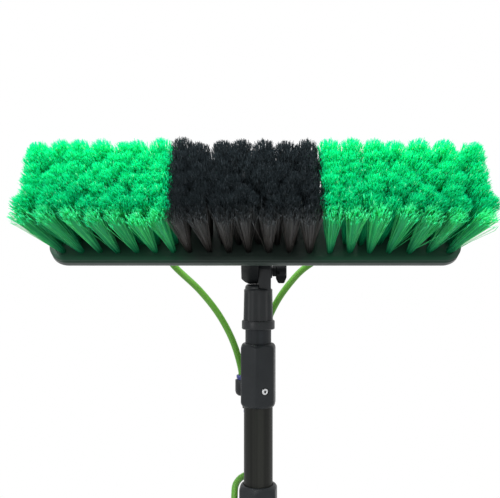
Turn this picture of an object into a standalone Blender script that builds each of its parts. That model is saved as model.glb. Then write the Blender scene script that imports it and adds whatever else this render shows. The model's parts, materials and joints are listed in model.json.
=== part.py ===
"""Window cleaning pole system: a three section telescopic pole that carries a tilting,
water fed brush head.  Metres, +Z up the pole, butt face at the origin, bristles toward -Y."""

import math

import bmesh
import bpy
import numpy as np
from mathutils import Matrix, Vector

# Pole tubes
TUBE_TOP_OD = 0.0228
TUBE_WALL = 0.0010
SLIDE_GAP = 0.0003
FIT_GAP = 0.00015
FACE_GAP = 0.0003
TUBE_MIDDLE_OD = TUBE_TOP_OD + 2 * (SLIDE_GAP + TUBE_WALL)
TUBE_BASE_OD = TUBE_MIDDLE_OD + 2 * (SLIDE_GAP + TUBE_WALL)
TUBE_SIDES = 24

# Heights along the pole
PIVOT_Z = 1.0000
MIDDLE_COLLAR_DROP = 0.0634
COLLAR_STEP = 0.1238
TUBE_START_Z = 0.0043
SECTION_STEP_Z = 0.0620
SOCKET_TUBE_DROP = 0.0240

# End cap and grip
CAP_FLOOR = 0.0040
CAP_HEIGHT = 0.0300
CAP_WALL = 0.0020
GRIP_START_Z = 0.0330
GRIP_LENGTH = 0.2300
GRIP_WALL = 0.0040
GRIP_RINGS = 4

# Hexagonal collars
COLLAR_LIP = 0.0050
COLLAR_WALL_AT_FLAT = 0.0014
COLLAR_HEIGHT = 0.0555
COLLAR_CHAMFER = 0.0030
COLLAR_CORNER_TRIM = 0.0005
COLLAR_TURN = math.radians(-97.5)
RIVET_DROP = 0.0404
RIVET_HEAD_R = 0.0027
RIVET_HEAD_H = 0.0010
RIVET_SHANK_R = 0.0015
RIVET_RECESS_R = 0.0034
RIVET_RECESS_DEPTH = 0.0005

# Twist locks
PLUG_LENGTH = 0.0260
STUD_R = 0.0060
STUD_FOOT_R = 0.0088
STUD_FOOT_H = 0.0040
LOCK_SLEEVE_LENGTH = 0.0240
LOCK_SLIT = 0.0024

# Angle adaptor
LUG_R = 0.0125
EAR_OUT = 0.0149
EAR_IN = 0.0007
TONGUE_IN = 0.0004
TONGUE_OUT = 0.0109
EAR_DOME = 0.0058
BOLT_R = 0.0030
BOLT_HEAD_R = 0.0050
BOLT_HEAD_H = 0.0040
HOLE_GAP = 0.0003
WASHER_R = 0.0066
WASHER_T = 0.0010
NUT_HUB_R = 0.0056
NUT_HUB_L = 0.0030
WING_L = 0.0106
WING_REACH = 0.0125
WING_T = 0.0046
SHOULDER_DROP = 0.0154
SOCKET_TOP_R = 0.01235
SOCKET_LOW_R = 0.01300
SOCKET_RING_R = 0.01425
SOCKET_RING_TOP_DROP = 0.0432
SOCKET_RING_LOW_DROP = 0.0509
FLUTES = 9
FLUTE_DEPTH = 0.0005
SET_SCREW_R = 0.0016
SET_SCREW_HEAD_R = 0.0026
SET_SCREW_HEAD_H = 0.0014

# Brush head, seen from the pivot: X along the brush, Y across it, Z along the bristles
TILT_REST = math.radians(60.0)
BLOCK_LENGTH = 0.3300
BLOCK_WIDTH = 0.0660
BLOCK_THICK = 0.0160
BLOCK_WALL = 0.0088
BLOCK_CORNER_R = 0.0150
BLOCK_BACK_INSET = 0.0090
BLOCK_SHIFT_X = -0.0020
BLOCK_SHIFT_E = 0.0115
FACE_REACH = 0.0560
FACE_EDGE = 0.0014
POCKET_RIM = 0.0042
POCKET_DEPTH = 0.0040
COLUMNS_PER_BANK = 7
ROWS = 5
TUFT_MARGIN_X = 0.0090
TUFT_MARGIN_E = 0.0095
COLUMN_PITCH = (BLOCK_LENGTH - 2 * TUFT_MARGIN_X) / (3 * COLUMNS_PER_BANK - 1)
ROW_PITCH = (BLOCK_WIDTH - 2 * TUFT_MARGIN_E) / (ROWS - 1)
BRISTLE_LENGTH = 0.0690
STRANDS_PER_TUFT = 3
TUFT_R = 0.0014
TUFT_TIP_R = 0.0052
STRAND_ROOT_R = 0.00075
STRAND_TIP_R = 0.00045
END_LEAN = math.radians(17.0)
SIDE_LEAN = math.radians(6.0)
LEAN_POWER = 2.2

# Bracket plate on the back of the block
PLATE_T = 0.0036
PLATE_X = 0.0250
PLATE_E = 0.0170
PLATE_CORNER = 0.0050
PLATE_SCREW_X = 0.0196
SCREW_R = 0.0019
SCREW_HEAD_R = 0.0037
SCREW_HEAD_H = 0.0022
SCREW_DEPTH = 0.0070

# Jets and water fittings
JET_COLUMN = 5.5
JET_ROW = 1
JET_R = 0.0030
JET_SOCKET_R = 0.0056
JET_FLANGE_R = 0.0068
JET_FLANGE_H = 0.0034
JET_SOCKET_L = 0.0136
JET_TIP_OUT = 0.0070
JET_ORIFICE_R = 0.0008
RUN_FALL = (
    (0.0020, 0.0024, 0.0152),
    (0.0051, 0.0065, 0.0245),
    (0.0077, 0.0106, 0.0340),
    (0.0082, 0.0127, 0.0444),
    (0.0052, 0.0113, 0.0545),
    (-0.0007, 0.0062, 0.0616),
    (-0.0079, -0.0013, 0.0638),
    (-0.0121, -0.0106, 0.0673),
    (-0.0128, -0.0186, 0.0743),
    (-0.0129, -0.0236, 0.0836),
    (-0.0130, -0.0259, 0.0940),
)
BRANCH_STRAIGHT_S = {"left": 0.0040, "right": 0.0160}
# Climb of each branch hose: share of the way to its jet, then offsets in Y and Z
BRANCH_CLIMB = {
    "left": (
        (0.0164, 0.0000, 0.0120),
        (0.0822, 0.0000, 0.0290),
        (0.1767, 0.0000, 0.0450),
        (0.3178, 0.0000, 0.0623),
        (0.5329, 0.0000, 0.0816),
        (0.8616, 0.0000, 0.1046),
    ),
    "right": (
        (0.0093, 0.0000, 0.0150),
        (0.0561, 0.0000, 0.0360),
        (0.1390, 0.0000, 0.0562),
        (0.2313, 0.0000, 0.0720),
        (0.3178, 0.0009, 0.0828),
        (0.4685, 0.0019, 0.0977),
        (0.5888, 0.0011, 0.1057),
        (0.7208, -0.0018, 0.1118),
        (0.8470, -0.0074, 0.1168),
        (0.9474, -0.0159, 0.1218),
    ),
}
HOSE_R = 0.0030
HOSE_SIDES_RES = 2
HOSE_POINT_STEP = 0.0105
FITTING_Y = 0.0245
FITTING_X = -0.0083
OUTLET_PITCH = 0.0130
BARREL_R = 0.0060
OUTLET_TOP_DROP = 0.0995
OUTLET_L = 0.0155
INLET_LOW_DROP = 0.1260
CHANNEL_R = 0.0018
COLLET_R = 0.0049
COLLET_SLEEVE_R = 0.0044
COLLET_SHOW = 0.0032
COLLET_PRESS = 0.0010
COLLET_SLEEVE_L = 0.0050
HOSE_IN = 0.0080

# Supply hose: free run, folded hank and tail, from the inlet of the fitting
HANK_X = -0.0220
HANK_Y = 0.0300
HANK_TOP_DROP = 0.2500
HANK_RUN = 0.0960
HANK_INNER_R = 0.0180
HANK_LAYERS = 4
HANK_LOOPS_PER_LAYER = 2
HANK_STEP = 0.0070
HANK_WAIST = 0.0040
HANK_POINTS = 24
TAIL_L = 0.0620
TIE_WIDTH = 0.0200
TIE_T = 0.0014
TIE_GAP = 0.0006
PLUG_BODY_R = 0.0090
PLUG_BODY_L = 0.0260
PLUG_NIPPLE_R = 0.0060
PLUG_NIPPLE_L = 0.0180
PLUG_NUT_R = 0.0110
PLUG_NUT_L = 0.0140
PLUG_NUT_RIBS = 12

MATERIALS = {
    "black_aluminium": ((0.022, 0.024, 0.022, 1), 0.6, 0.42),
    "black_plastic": ((0.020, 0.022, 0.024, 1), 0.0, 0.45),
    "grey_plastic": ((0.035, 0.037, 0.040, 1), 0.0, 0.50),
    "gloss_plastic": ((0.012, 0.014, 0.014, 1), 0.0, 0.25),
    "rubber": ((0.012, 0.012, 0.012, 1), 0.0, 0.80),
    "steel": ((0.60, 0.61, 0.62, 1), 1.0, 0.28),
    "green_nylon": ((0.005, 0.42, 0.14, 1), 0.0, 0.45),
    "black_nylon": ((0.010, 0.011, 0.013, 1), 0.0, 0.50),
    "green_hose": ((0.09, 0.32, 0.045, 1), 0.0, 0.35),
    "blue_plastic": ((0.012, 0.020, 0.16, 1), 0.0, 0.40),
    "brass": ((0.62, 0.45, 0.20, 1), 1.0, 0.30),
    "strap": ((0.014, 0.014, 0.015, 1), 0.0, 0.90),
    "nozzle_plastic": ((0.05, 0.05, 0.052, 1), 0.0, 0.40),
}


def clear_scene():
    for obj in list(bpy.data.objects):
        bpy.data.objects.remove(obj, do_unlink=True)
    for mesh in list(bpy.data.meshes):
        bpy.data.meshes.remove(mesh)


def material_for(name, kind):
    colour, metallic, rough = MATERIALS[kind]
    mat = bpy.data.materials.new(name + "_material")
    mat.use_nodes = True
    shader = mat.node_tree.nodes.get("Principled BSDF")
    shader.inputs["Base Color"].default_value = colour
    shader.inputs["Metallic"].default_value = metallic
    shader.inputs["Roughness"].default_value = rough
    return mat


def mesh_of(verts, faces):
    bm = bmesh.new()
    made = [bm.verts.new(v) for v in verts]
    for face in faces:
        bm.faces.new([made[i] for i in face])
    bmesh.ops.recalc_face_normals(bm, faces=bm.faces)
    mesh = bpy.data.meshes.new("shape")
    bm.to_mesh(mesh)
    bm.free()
    return mesh


def put(name, mesh, kind, at=(0, 0, 0), turn=None):
    obj = bpy.data.objects.new(name, mesh)
    mesh.name = name
    bpy.context.scene.collection.objects.link(obj)
    matrix = Matrix.Translation(Vector(at))
    if turn is not None:
        matrix = matrix @ turn
    obj.matrix_world = matrix
    mesh.materials.clear()
    mesh.materials.append(material_for(name, kind))
    return obj


def loft(rings, closed=False):
    """Join rings of equal count into one closed skin, capped or joined end to end."""
    count = len(rings[0])
    verts = [tuple(p) for ring in rings for p in ring]
    faces = []
    for k in range(len(rings) if closed else len(rings) - 1):
        a = k * count
        b = ((k + 1) % len(rings)) * count
        for i in range(count):
            j = (i + 1) % count
            faces.append((a + i, a + j, b + j, b + i))
    if not closed:
        faces.append(tuple(range(count)))
        faces.append(tuple(range((len(rings) - 1) * count, len(rings) * count)))
    return mesh_of(verts, faces)


def circle(radius, z, sides, phase=0.0):
    turns = [2 * math.pi * i / sides + phase for i in range(sides)]
    return [(radius * math.cos(a), radius * math.sin(a), z) for a in turns]


def turned(profile, sides=24, closed=False):
    """A turned body from (radius, height) pairs about Z."""
    return loft([circle(r, z, sides) for r, z in profile], closed)


def along_x(profile, sides=24, closed=False):
    """A turned body about X from (radius, x) pairs."""
    rings = [[(z, x, y) for x, y, z in circle(r, h, sides)] for r, h in profile]
    return loft(rings, closed)


def extruded_x(points, x0, x1):
    """A prism from (y, z) points between two planes across X."""
    return loft([[(x0, y, z) for y, z in points], [(x1, y, z) for y, z in points]])


def rounded_box(half_x, half_y, radius, steps=6):
    points = []
    for cx, cy, start in (
        (half_x - radius, half_y - radius, 0.0),
        (-half_x + radius, half_y - radius, 0.5 * math.pi),
        (-half_x + radius, -half_y + radius, math.pi),
        (half_x - radius, -half_y + radius, 1.5 * math.pi),
    ):
        for i in range(steps):
            a = start + 0.5 * math.pi * i / (steps - 1)
            points.append((cx + radius * math.cos(a), cy + radius * math.sin(a)))
    return points


def combine(mesh, other, operation):
    """Boolean of two meshes in one frame, as a new mesh."""
    base = bpy.data.objects.new("base", mesh)
    tool = bpy.data.objects.new("tool", other)
    for obj in (base, tool):
        bpy.context.scene.collection.objects.link(obj)
    tool.hide_render = True
    tool.display_type = "WIRE"
    step = base.modifiers.new("step", "BOOLEAN")
    step.solver = "EXACT"
    step.operation = operation
    step.object = tool
    bpy.context.view_layer.update()
    graph = bpy.context.evaluated_depsgraph_get()
    result = bpy.data.meshes.new_from_object(base.evaluated_get(graph))
    for obj in (base, tool):
        bpy.data.objects.remove(obj, do_unlink=True)
    bm = bmesh.new()
    bm.from_mesh(result)
    bmesh.ops.remove_doubles(bm, verts=bm.verts, dist=1e-6)
    bmesh.ops.dissolve_degenerate(bm, edges=bm.edges, dist=1e-7)
    bmesh.ops.triangulate(bm, faces=[f for f in bm.faces if len(f.verts) > 4])
    bmesh.ops.recalc_face_normals(bm, faces=bm.faces)
    bm.to_mesh(result)
    bm.free()
    return result


def cut(mesh, tool):
    return combine(mesh, tool, "DIFFERENCE")


def fuse(mesh, other):
    return combine(mesh, other, "UNION")


def moved(mesh, matrix):
    mesh.transform(matrix)
    return mesh


def smooth_route(points, spacing):
    """Evenly spaced points on a centripetal curve through the route's own points."""
    p = [np.array(q, float) for q in points]
    p = [2 * p[0] - p[1]] + p + [2 * p[-1] - p[-2]]
    fine = []
    for i in range(1, len(p) - 2):
        knots = [0.0]
        for a, b in ((p[i - 1], p[i]), (p[i], p[i + 1]), (p[i + 1], p[i + 2])):
            knots.append(knots[-1] + math.sqrt(np.linalg.norm(b - a)))
        t0, t1, t2, t3 = knots
        for t in np.linspace(t1, t2, 24, endpoint=False):
            a1 = (t1 - t) / (t1 - t0) * p[i - 1] + (t - t0) / (t1 - t0) * p[i]
            a2 = (t2 - t) / (t2 - t1) * p[i] + (t - t1) / (t2 - t1) * p[i + 1]
            a3 = (t3 - t) / (t3 - t2) * p[i + 1] + (t - t2) / (t3 - t2) * p[i + 2]
            b1 = (t2 - t) / (t2 - t0) * a1 + (t - t0) / (t2 - t0) * a2
            b2 = (t3 - t) / (t3 - t1) * a2 + (t - t1) / (t3 - t1) * a3
            fine.append((t2 - t) / (t2 - t1) * b1 + (t - t1) / (t2 - t1) * b2)
    fine.append(p[-2])
    fine = np.array(fine)
    run = np.concatenate([[0], np.cumsum(np.linalg.norm(np.diff(fine, axis=0), axis=1))])
    count = max(4, int(round(run[-1] / spacing)) + 1)
    at = np.linspace(0, run[-1], count)
    return np.stack([np.interp(at, run, fine[:, k]) for k in range(3)], axis=1)


def tube(name, points, kind, resolution):
    """A round solid along a route, as a curve with a bevel and filled caps."""
    curve = bpy.data.curves.new(name, "CURVE")
    curve.dimensions = "3D"
    curve.bevel_depth = HOSE_R
    curve.bevel_resolution = resolution
    curve.use_fill_caps = True
    curve.twist_mode = "MINIMUM"
    spline = curve.splines.new("POLY")
    spline.points.add(len(points) - 1)
    for slot, p in zip(spline.points, points):
        slot.co = (float(p[0]), float(p[1]), float(p[2]), 1.0)
    obj = bpy.data.objects.new(name, curve)
    bpy.context.scene.collection.objects.link(obj)
    curve.materials.append(material_for(name, kind))
    return obj


def hex_radius(angle, flat_r, corner_r):
    """Outer radius of a hexagon with trimmed corners in one direction."""
    part = (angle - COLLAR_TURN) % (math.pi / 3) - math.pi / 6
    return min(flat_r / math.cos(part), corner_r)


def hex_collar(bore_r, lip_r, height, flat_r):
    """A hexagonal sleeve with a chamfered crown, its top lip closing in on the inner tube."""
    corner_r = flat_r / math.cos(math.pi / 6) - COLLAR_CORNER_TRIM
    sides = 36
    angles = [COLLAR_TURN + 2 * math.pi * i / sides for i in range(sides)]

    def ring(radius_of, z_of):
        return [(radius_of(a) * math.cos(a), radius_of(a) * math.sin(a), z_of(a)) for a in angles]

    def outer(a):
        return hex_radius(a, flat_r, corner_r)

    crown = flat_r - 0.45 * COLLAR_CHAMFER

    def drop(a, share):
        return share * (outer(a) - crown) + share * 0.35 * COLLAR_CHAMFER

    return loft(
        [
            ring(lambda a: lip_r, lambda a: 0.0),
            ring(lambda a: crown, lambda a: 0.0),
            ring(lambda a: 0.35 * crown + 0.65 * outer(a), lambda a: -drop(a, 0.35)),
            ring(outer, lambda a: -drop(a, 1.0)),
            ring(outer, lambda a: -height + drop(a, 1.0)),
            ring(lambda a: 0.35 * crown + 0.65 * outer(a), lambda a: -height + drop(a, 0.35)),
            ring(lambda a: crown, lambda a: -height),
            ring(lambda a: bore_r, lambda a: -height),
            ring(lambda a: bore_r, lambda a: -COLLAR_LIP),
            ring(lambda a: lip_r, lambda a: -COLLAR_LIP),
        ],
        closed=True,
    )


def radial(profile, direction, at_z, sides=14):
    """A turned body whose axis runs outward from the pole at one height and bearing."""
    mesh = turned(profile, sides)
    turn = Matrix.Rotation(direction, 4, "Z") @ Matrix.Rotation(math.pi / 2, 4, "Y")
    return moved(mesh, Matrix.Translation((0, 0, at_z)) @ turn)


def pole_section(tag, tube_od, inner_od, start_z, top_z):
    """One tube with its hexagonal collar and the rivet that holds the collar."""
    outer = tube_od / 2
    inner = outer - TUBE_WALL
    end_z = top_z - COLLAR_LIP - FACE_GAP
    flat_r = outer + FIT_GAP + COLLAR_WALL_AT_FLAT
    bearing = COLLAR_TURN + math.pi / 6
    rivet_z = top_z - RIVET_DROP
    hole = [(RIVET_SHANK_R + FIT_GAP, inner - 0.002), (RIVET_SHANK_R + FIT_GAP, outer + 0.006)]
    wall = turned([(inner, start_z), (outer, start_z), (outer, end_z), (inner, end_z)], TUBE_SIDES, True)
    put("tube_" + tag, cut(wall, radial(hole, bearing, rivet_z)), "black_aluminium")
    collar = hex_collar(outer + FIT_GAP, inner_od / 2 + SLIDE_GAP, COLLAR_HEIGHT, flat_r)
    collar = moved(collar, Matrix.Translation((0, 0, top_z)))
    seat = flat_r - RIVET_RECESS_DEPTH
    recess = [(RIVET_RECESS_R, seat), (RIVET_RECESS_R, seat + 0.006)]
    collar = cut(collar, radial(hole, bearing, rivet_z))
    collar = cut(collar, radial(recess, bearing, rivet_z))
    put("collar_" + tag, collar, "black_plastic")
    under = seat + FIT_GAP
    rivet = [
        (RIVET_SHANK_R, inner + FIT_GAP),
        (RIVET_SHANK_R, under),
        (RIVET_HEAD_R, under),
        (RIVET_HEAD_R * 0.88, under + RIVET_HEAD_H * 0.7),
        (RIVET_HEAD_R * 0.45, under + RIVET_HEAD_H),
    ]
    put("rivet_" + tag, radial(rivet, bearing, rivet_z), "steel")


def twist_lock(tag, which, tube_od, outer_id, end_z):
    """Lock core in the lower end of a tube, and the split sleeve that it spreads."""
    bore = tube_od / 2 - TUBE_WALL - FIT_GAP
    rim = tube_od / 2
    low = end_z - LOCK_SLEEVE_LENGTH - 4 * FACE_GAP
    core = [
        (STUD_FOOT_R, low - STUD_FOOT_H),
        (STUD_FOOT_R, low),
        (STUD_R, low),
        (STUD_R, end_z - 2 * FACE_GAP),
        (rim - TUBE_WALL, end_z - 2 * FACE_GAP),
        (rim - TUBE_WALL, end_z - FACE_GAP),
        (bore, end_z - FACE_GAP),
        (bore, end_z + PLUG_LENGTH),
    ]
    put("plug_" + tag, turned(core, 18), "grey_plastic")
    sleeve_r = outer_id / 2 - SLIDE_GAP
    eye = STUD_R + SLIDE_GAP
    bottom = low + FACE_GAP
    top = bottom + LOCK_SLEEVE_LENGTH
    skirt = 0.0012
    ring = turned(
        [
            (eye, bottom),
            (sleeve_r - skirt, bottom),
            (sleeve_r, bottom + skirt),
            (sleeve_r, top - skirt),
            (sleeve_r - skirt, top),
            (eye, top),
        ],
        20,
        True,
    )
    slit = [(sleeve_r * 0.2, -LOCK_SLIT / 2), (sleeve_r * 2, -LOCK_SLIT / 2)]
    slit += [(sleeve_r * 2, LOCK_SLIT / 2), (sleeve_r * 0.2, LOCK_SLIT / 2)]
    knife = loft([[(x, y, z) for x, y in slit] for z in (bottom - 0.002, top + 0.002)])
    put("lock_sleeve_" + which, cut(ring, knife), "grey_plastic")


def butt_end():
    ro = TUBE_BASE_OD / 2 + FIT_GAP + CAP_WALL
    ri = TUBE_BASE_OD / 2 + FIT_GAP
    core = TUBE_BASE_OD / 2 - TUBE_WALL - FIT_GAP
    edge = 0.0018
    cup = [
        (ro - edge, 0.0),
        (ro, edge),
        (ro, CAP_HEIGHT - edge / 2),
        (ro - edge / 2, CAP_HEIGHT),
        (ri, CAP_HEIGHT),
        (ri, CAP_FLOOR),
        (core, CAP_FLOOR),
        (core, CAP_FLOOR + CAP_HEIGHT / 3),
    ]
    put("end_cap", turned(cup, TUBE_SIDES), "rubber")
    gi = TUBE_BASE_OD / 2 + FIT_GAP
    go = gi + GRIP_WALL
    dip = GRIP_WALL * 0.25
    outline = [(gi, GRIP_START_Z), (go - dip, GRIP_START_Z), (go, GRIP_START_Z + dip)]
    pitch = GRIP_LENGTH / (GRIP_RINGS + 1)
    for k in range(1, GRIP_RINGS + 1):
        z = GRIP_START_Z + k * pitch
        outline += [(go, z - pitch * 0.16), (go - dip, z - pitch * 0.08)]
        outline += [(go - dip, z + pitch * 0.08), (go, z + pitch * 0.16)]
    end = GRIP_START_Z + GRIP_LENGTH
    outline += [(go, end - dip), (go - dip, end), (gi, end)]
    put("grip", turned(outline, TUBE_SIDES, True), "rubber")


def pole():
    middle_top = PIVOT_Z - MIDDLE_COLLAR_DROP
    base_top = middle_top - COLLAR_STEP
    middle_start = TUBE_START_Z + SECTION_STEP_Z
    top_start = middle_start + SECTION_STEP_Z
    butt_end()
    pole_section("base", TUBE_BASE_OD, TUBE_MIDDLE_OD, TUBE_START_Z, base_top)
    pole_section("middle", TUBE_MIDDLE_OD, TUBE_TOP_OD, middle_start, middle_top)
    twist_lock("middle", "lower", TUBE_MIDDLE_OD, TUBE_BASE_OD - 2 * TUBE_WALL, middle_start)
    twist_lock("top", "upper", TUBE_TOP_OD, TUBE_MIDDLE_OD - 2 * TUBE_WALL, top_start)
    outer = TUBE_TOP_OD / 2
    inner = outer - TUBE_WALL
    end = PIVOT_Z - SOCKET_TUBE_DROP
    wall = turned([(inner, top_start), (outer, top_start), (outer, end), (inner, end)], TUBE_SIDES, True)
    screw_z = PIVOT_Z - (SOCKET_RING_TOP_DROP + SOCKET_RING_LOW_DROP) / 2
    back = math.pi / 2
    hole = [(SET_SCREW_R + FIT_GAP, inner - 0.002), (SET_SCREW_R + FIT_GAP, SOCKET_RING_R + 0.003)]
    put("tube_top", cut(wall, radial(hole, back, screw_z)), "black_aluminium")
    socket(hole, back, screw_z, inner)


def lug_outline(radius, wide, low):
    """Round end about the pivot with straight sides down to a foot, in (y, z)."""
    points = [(-wide, low), (wide, low)]
    lean = math.atan2(wide - radius, -low)
    for i in range(13):
        a = -lean * 0.5 + (math.pi + lean) * i / 12
        points.append((radius * math.cos(a), radius * math.sin(a)))
    return points


def socket(hole, back, screw_z, inner):
    """Fluted socket on the top tube, with a tongue at the tilt pivot."""
    bore = TUBE_TOP_OD / 2 + FIT_GAP
    sides = FLUTES * 4

    def fluted(radius, z, depth):
        ring = []
        for i in range(sides):
            a = 2 * math.pi * i / sides
            r = radius - (depth if i % 4 == 2 else 0.0) - (depth * 0.7 if i % 4 in (1, 3) else 0.0)
            ring.append((r * math.cos(a), r * math.sin(a), z))
        return ring

    z_top = -SHOULDER_DROP
    z_ring = -SOCKET_RING_TOP_DROP
    z_low = -SOCKET_RING_LOW_DROP
    step = 0.0012
    body = loft(
        [
            fluted(bore, -SOCKET_TUBE_DROP + FACE_GAP, 0.0),
            fluted(bore, z_low, 0.0),
            fluted(SOCKET_RING_R - step * 0.5, z_low, 0.0),
            fluted(SOCKET_RING_R, z_low + step * 0.5, 0.0),
            fluted(SOCKET_RING_R - step * 0.3, z_ring - step * 0.5, 0.0),
            fluted(SOCKET_LOW_R, z_ring, 0.0),
            fluted(SOCKET_LOW_R, z_ring + step, FLUTE_DEPTH),
            fluted(SOCKET_TOP_R, z_top - 2 * step, FLUTE_DEPTH),
            fluted(SOCKET_TOP_R - step, z_top, 0.0),
        ]
    )
    wide = SOCKET_TOP_R * 0.72
    tongue = extruded_x(lug_outline(LUG_R, wide, z_top - 0.002), TONGUE_IN, TONGUE_OUT)
    body = fuse(body, tongue)
    hump_r = 0.0030
    hump = along_x(
        [(hump_r * 0.6, -SOCKET_TOP_R + 0.0030), (hump_r, -SOCKET_TOP_R + 0.0046), (hump_r, -0.0022)], 16
    )
    body = fuse(body, moved(hump, Matrix.Translation((0, 0, z_top - 0.0006))))
    reach = [(BOLT_R + HOLE_GAP, -0.002), (BOLT_R + HOLE_GAP, TONGUE_OUT + 0.003)]
    body = cut(body, along_x(reach, 20))
    body = moved(body, Matrix.Translation((0, 0, PIVOT_Z)))
    body = cut(body, radial(hole, back, screw_z))
    recess = [(SET_SCREW_HEAD_R + HOLE_GAP, SOCKET_RING_R - SET_SCREW_HEAD_H)]
    recess.append((SET_SCREW_HEAD_R + HOLE_GAP, SOCKET_RING_R + 0.003))
    body = cut(body, radial(recess, back, screw_z))
    put("adaptor_socket", body, "black_plastic")
    seat = SOCKET_RING_R - SET_SCREW_HEAD_H + FIT_GAP
    screw = [
        (SET_SCREW_R, inner + FIT_GAP),
        (SET_SCREW_R, seat),
        (SET_SCREW_HEAD_R, seat),
        (SET_SCREW_HEAD_R * 0.9, seat + SET_SCREW_HEAD_H * 0.8),
        (SET_SCREW_HEAD_R * 0.5, seat + SET_SCREW_HEAD_H),
    ]
    put("socket_screw", radial(screw, back, screw_z), "steel")


def head_frame():
    return Matrix.Rotation(TILT_REST, 4, "X")


def to_world(x, e, s):
    """A point of the brush head in the part's frame at rest."""
    c = math.cos(TILT_REST)
    n = math.sin(TILT_REST)
    return (x, e * c - s * n, PIVOT_Z + e * n + s * c)


def pivot():
    at = (0, 0, PIVOT_Z)
    head_in = -EAR_OUT + FACE_GAP
    seat = head_in + BOLT_HEAD_H
    washer_in = TONGUE_OUT + FACE_GAP
    hub_in = washer_in + WASHER_T + FACE_GAP
    hub_out = hub_in + NUT_HUB_L
    wing_out = hub_out + WING_L
    bolt = [
        (BOLT_HEAD_R * 0.8, head_in),
        (BOLT_HEAD_R, head_in + 0.0008),
        (BOLT_HEAD_R, seat),
        (BOLT_R, seat),
        (BOLT_R, wing_out - 0.0040),
        (BOLT_R * 0.75, wing_out - 0.0032),
    ]
    put("pivot_bolt", along_x(bolt, 20), "steel", at, head_frame())
    eye = BOLT_R + HOLE_GAP
    washer = [(eye, washer_in), (WASHER_R, washer_in), (WASHER_R, washer_in + WASHER_T)]
    washer.append((eye, washer_in + WASHER_T))
    put("pivot_washer", along_x(washer, 24, True), "steel", at, head_frame())
    hub = along_x(
        [
            (NUT_HUB_R * 0.86, hub_in),
            (NUT_HUB_R * 0.86, hub_out),
            (NUT_HUB_R, hub_out + 0.0004),
            (NUT_HUB_R, wing_out - 0.0022),
            (NUT_HUB_R * 0.7, wing_out - 0.0004),
        ],
        20,
    )
    paddle = []
    for x, r in ((hub_out, 0.2), (hub_out, 0.62), (hub_out + 0.0018, 1.0)):
        paddle.append((x, r * WING_REACH))
    for x, r in ((wing_out - 0.0020, 1.0), (wing_out, 0.55), (wing_out, 0.2)):
        paddle.append((x, r * WING_REACH))
    outline = paddle + [(x, -z) for x, z in reversed(paddle)]
    blade = loft([[(x, y, z) for x, z in outline] for y in (-WING_T / 2, WING_T / 2)])
    nut = cut(fuse(hub, blade), along_x([(eye, hub_in - 0.001), (eye, wing_out - 0.0022)], 20))
    put("wing_nut", nut, "black_plastic", at)


def bracket():
    """Ear at the pivot and the plate that it carries behind the block."""
    at = (0, 0, PIVOT_Z)
    plate_out = FACE_REACH - BLOCK_THICK - FACE_GAP
    plate_in = plate_out - PLATE_T
    near_e = -LUG_R * 0.92
    far_e = BLOCK_SHIFT_E + PLATE_E * 0.66

    def outline(radius, shrink):
        points = [(far_e - shrink, plate_in + 0.001), (near_e + shrink * 0.5, plate_in + 0.001)]
        for i in range(13):
            a = math.pi + 0.04 + (math.pi + 0.42) * i / 12
            points.append((radius * math.cos(a), radius * math.sin(a)))
        return points

    rings = []
    for x, dome in ((-EAR_IN, 0.0), (-EAR_OUT + EAR_DOME, 0.0), (-EAR_OUT + EAR_DOME * 0.42, 0.12), (-EAR_OUT, 0.34)):
        rings.append([(x, e, s) for e, s in outline(LUG_R * (1 - dome), dome * 0.012)])
    arm = loft(rings)
    around = rounded_box(PLATE_X, PLATE_E, PLATE_CORNER, 5)
    plate = loft([[(x, e + BLOCK_SHIFT_E, s) for x, e in around] for s in (plate_in, plate_out)])
    body = fuse(arm, plate)
    eye = BOLT_R + HOLE_GAP
    body = cut(body, along_x([(eye, -EAR_OUT - 0.002), (eye, 0.002)], 20))
    well = BOLT_HEAD_R + HOLE_GAP
    depth = -EAR_OUT + FACE_GAP + BOLT_HEAD_H + FACE_GAP
    body = cut(body, along_x([(well, -EAR_OUT - 0.002), (well, depth)], 20))
    for side in (-1, 1):
        drill = turned([(SCREW_R + HOLE_GAP, plate_in - 0.004), (SCREW_R + HOLE_GAP, plate_out + 0.002)], 16)
        place = Matrix.Translation((side * PLATE_SCREW_X, BLOCK_SHIFT_E, 0))
        body = cut(body, moved(drill, place))
        seat = plate_in - FIT_GAP
        screw = [
            (SCREW_HEAD_R * 0.55, seat - SCREW_HEAD_H),
            (SCREW_HEAD_R, seat - SCREW_HEAD_H * 0.5),
            (SCREW_HEAD_R, seat),
            (SCREW_R, seat),
            (SCREW_R, plate_out + FACE_GAP + SCREW_DEPTH - 0.0006),
        ]
        name = "bracket_screw_left" if side < 0 else "bracket_screw_right"
        put(name, moved(turned(screw, 12), place), "steel", at, head_frame())
    put("adaptor_upper", body, "black_plastic", at, head_frame())


def jet_places():
    offset = JET_COLUMN * COLUMN_PITCH
    return (("left", BLOCK_SHIFT_X - offset), ("right", BLOCK_SHIFT_X + offset))


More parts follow.
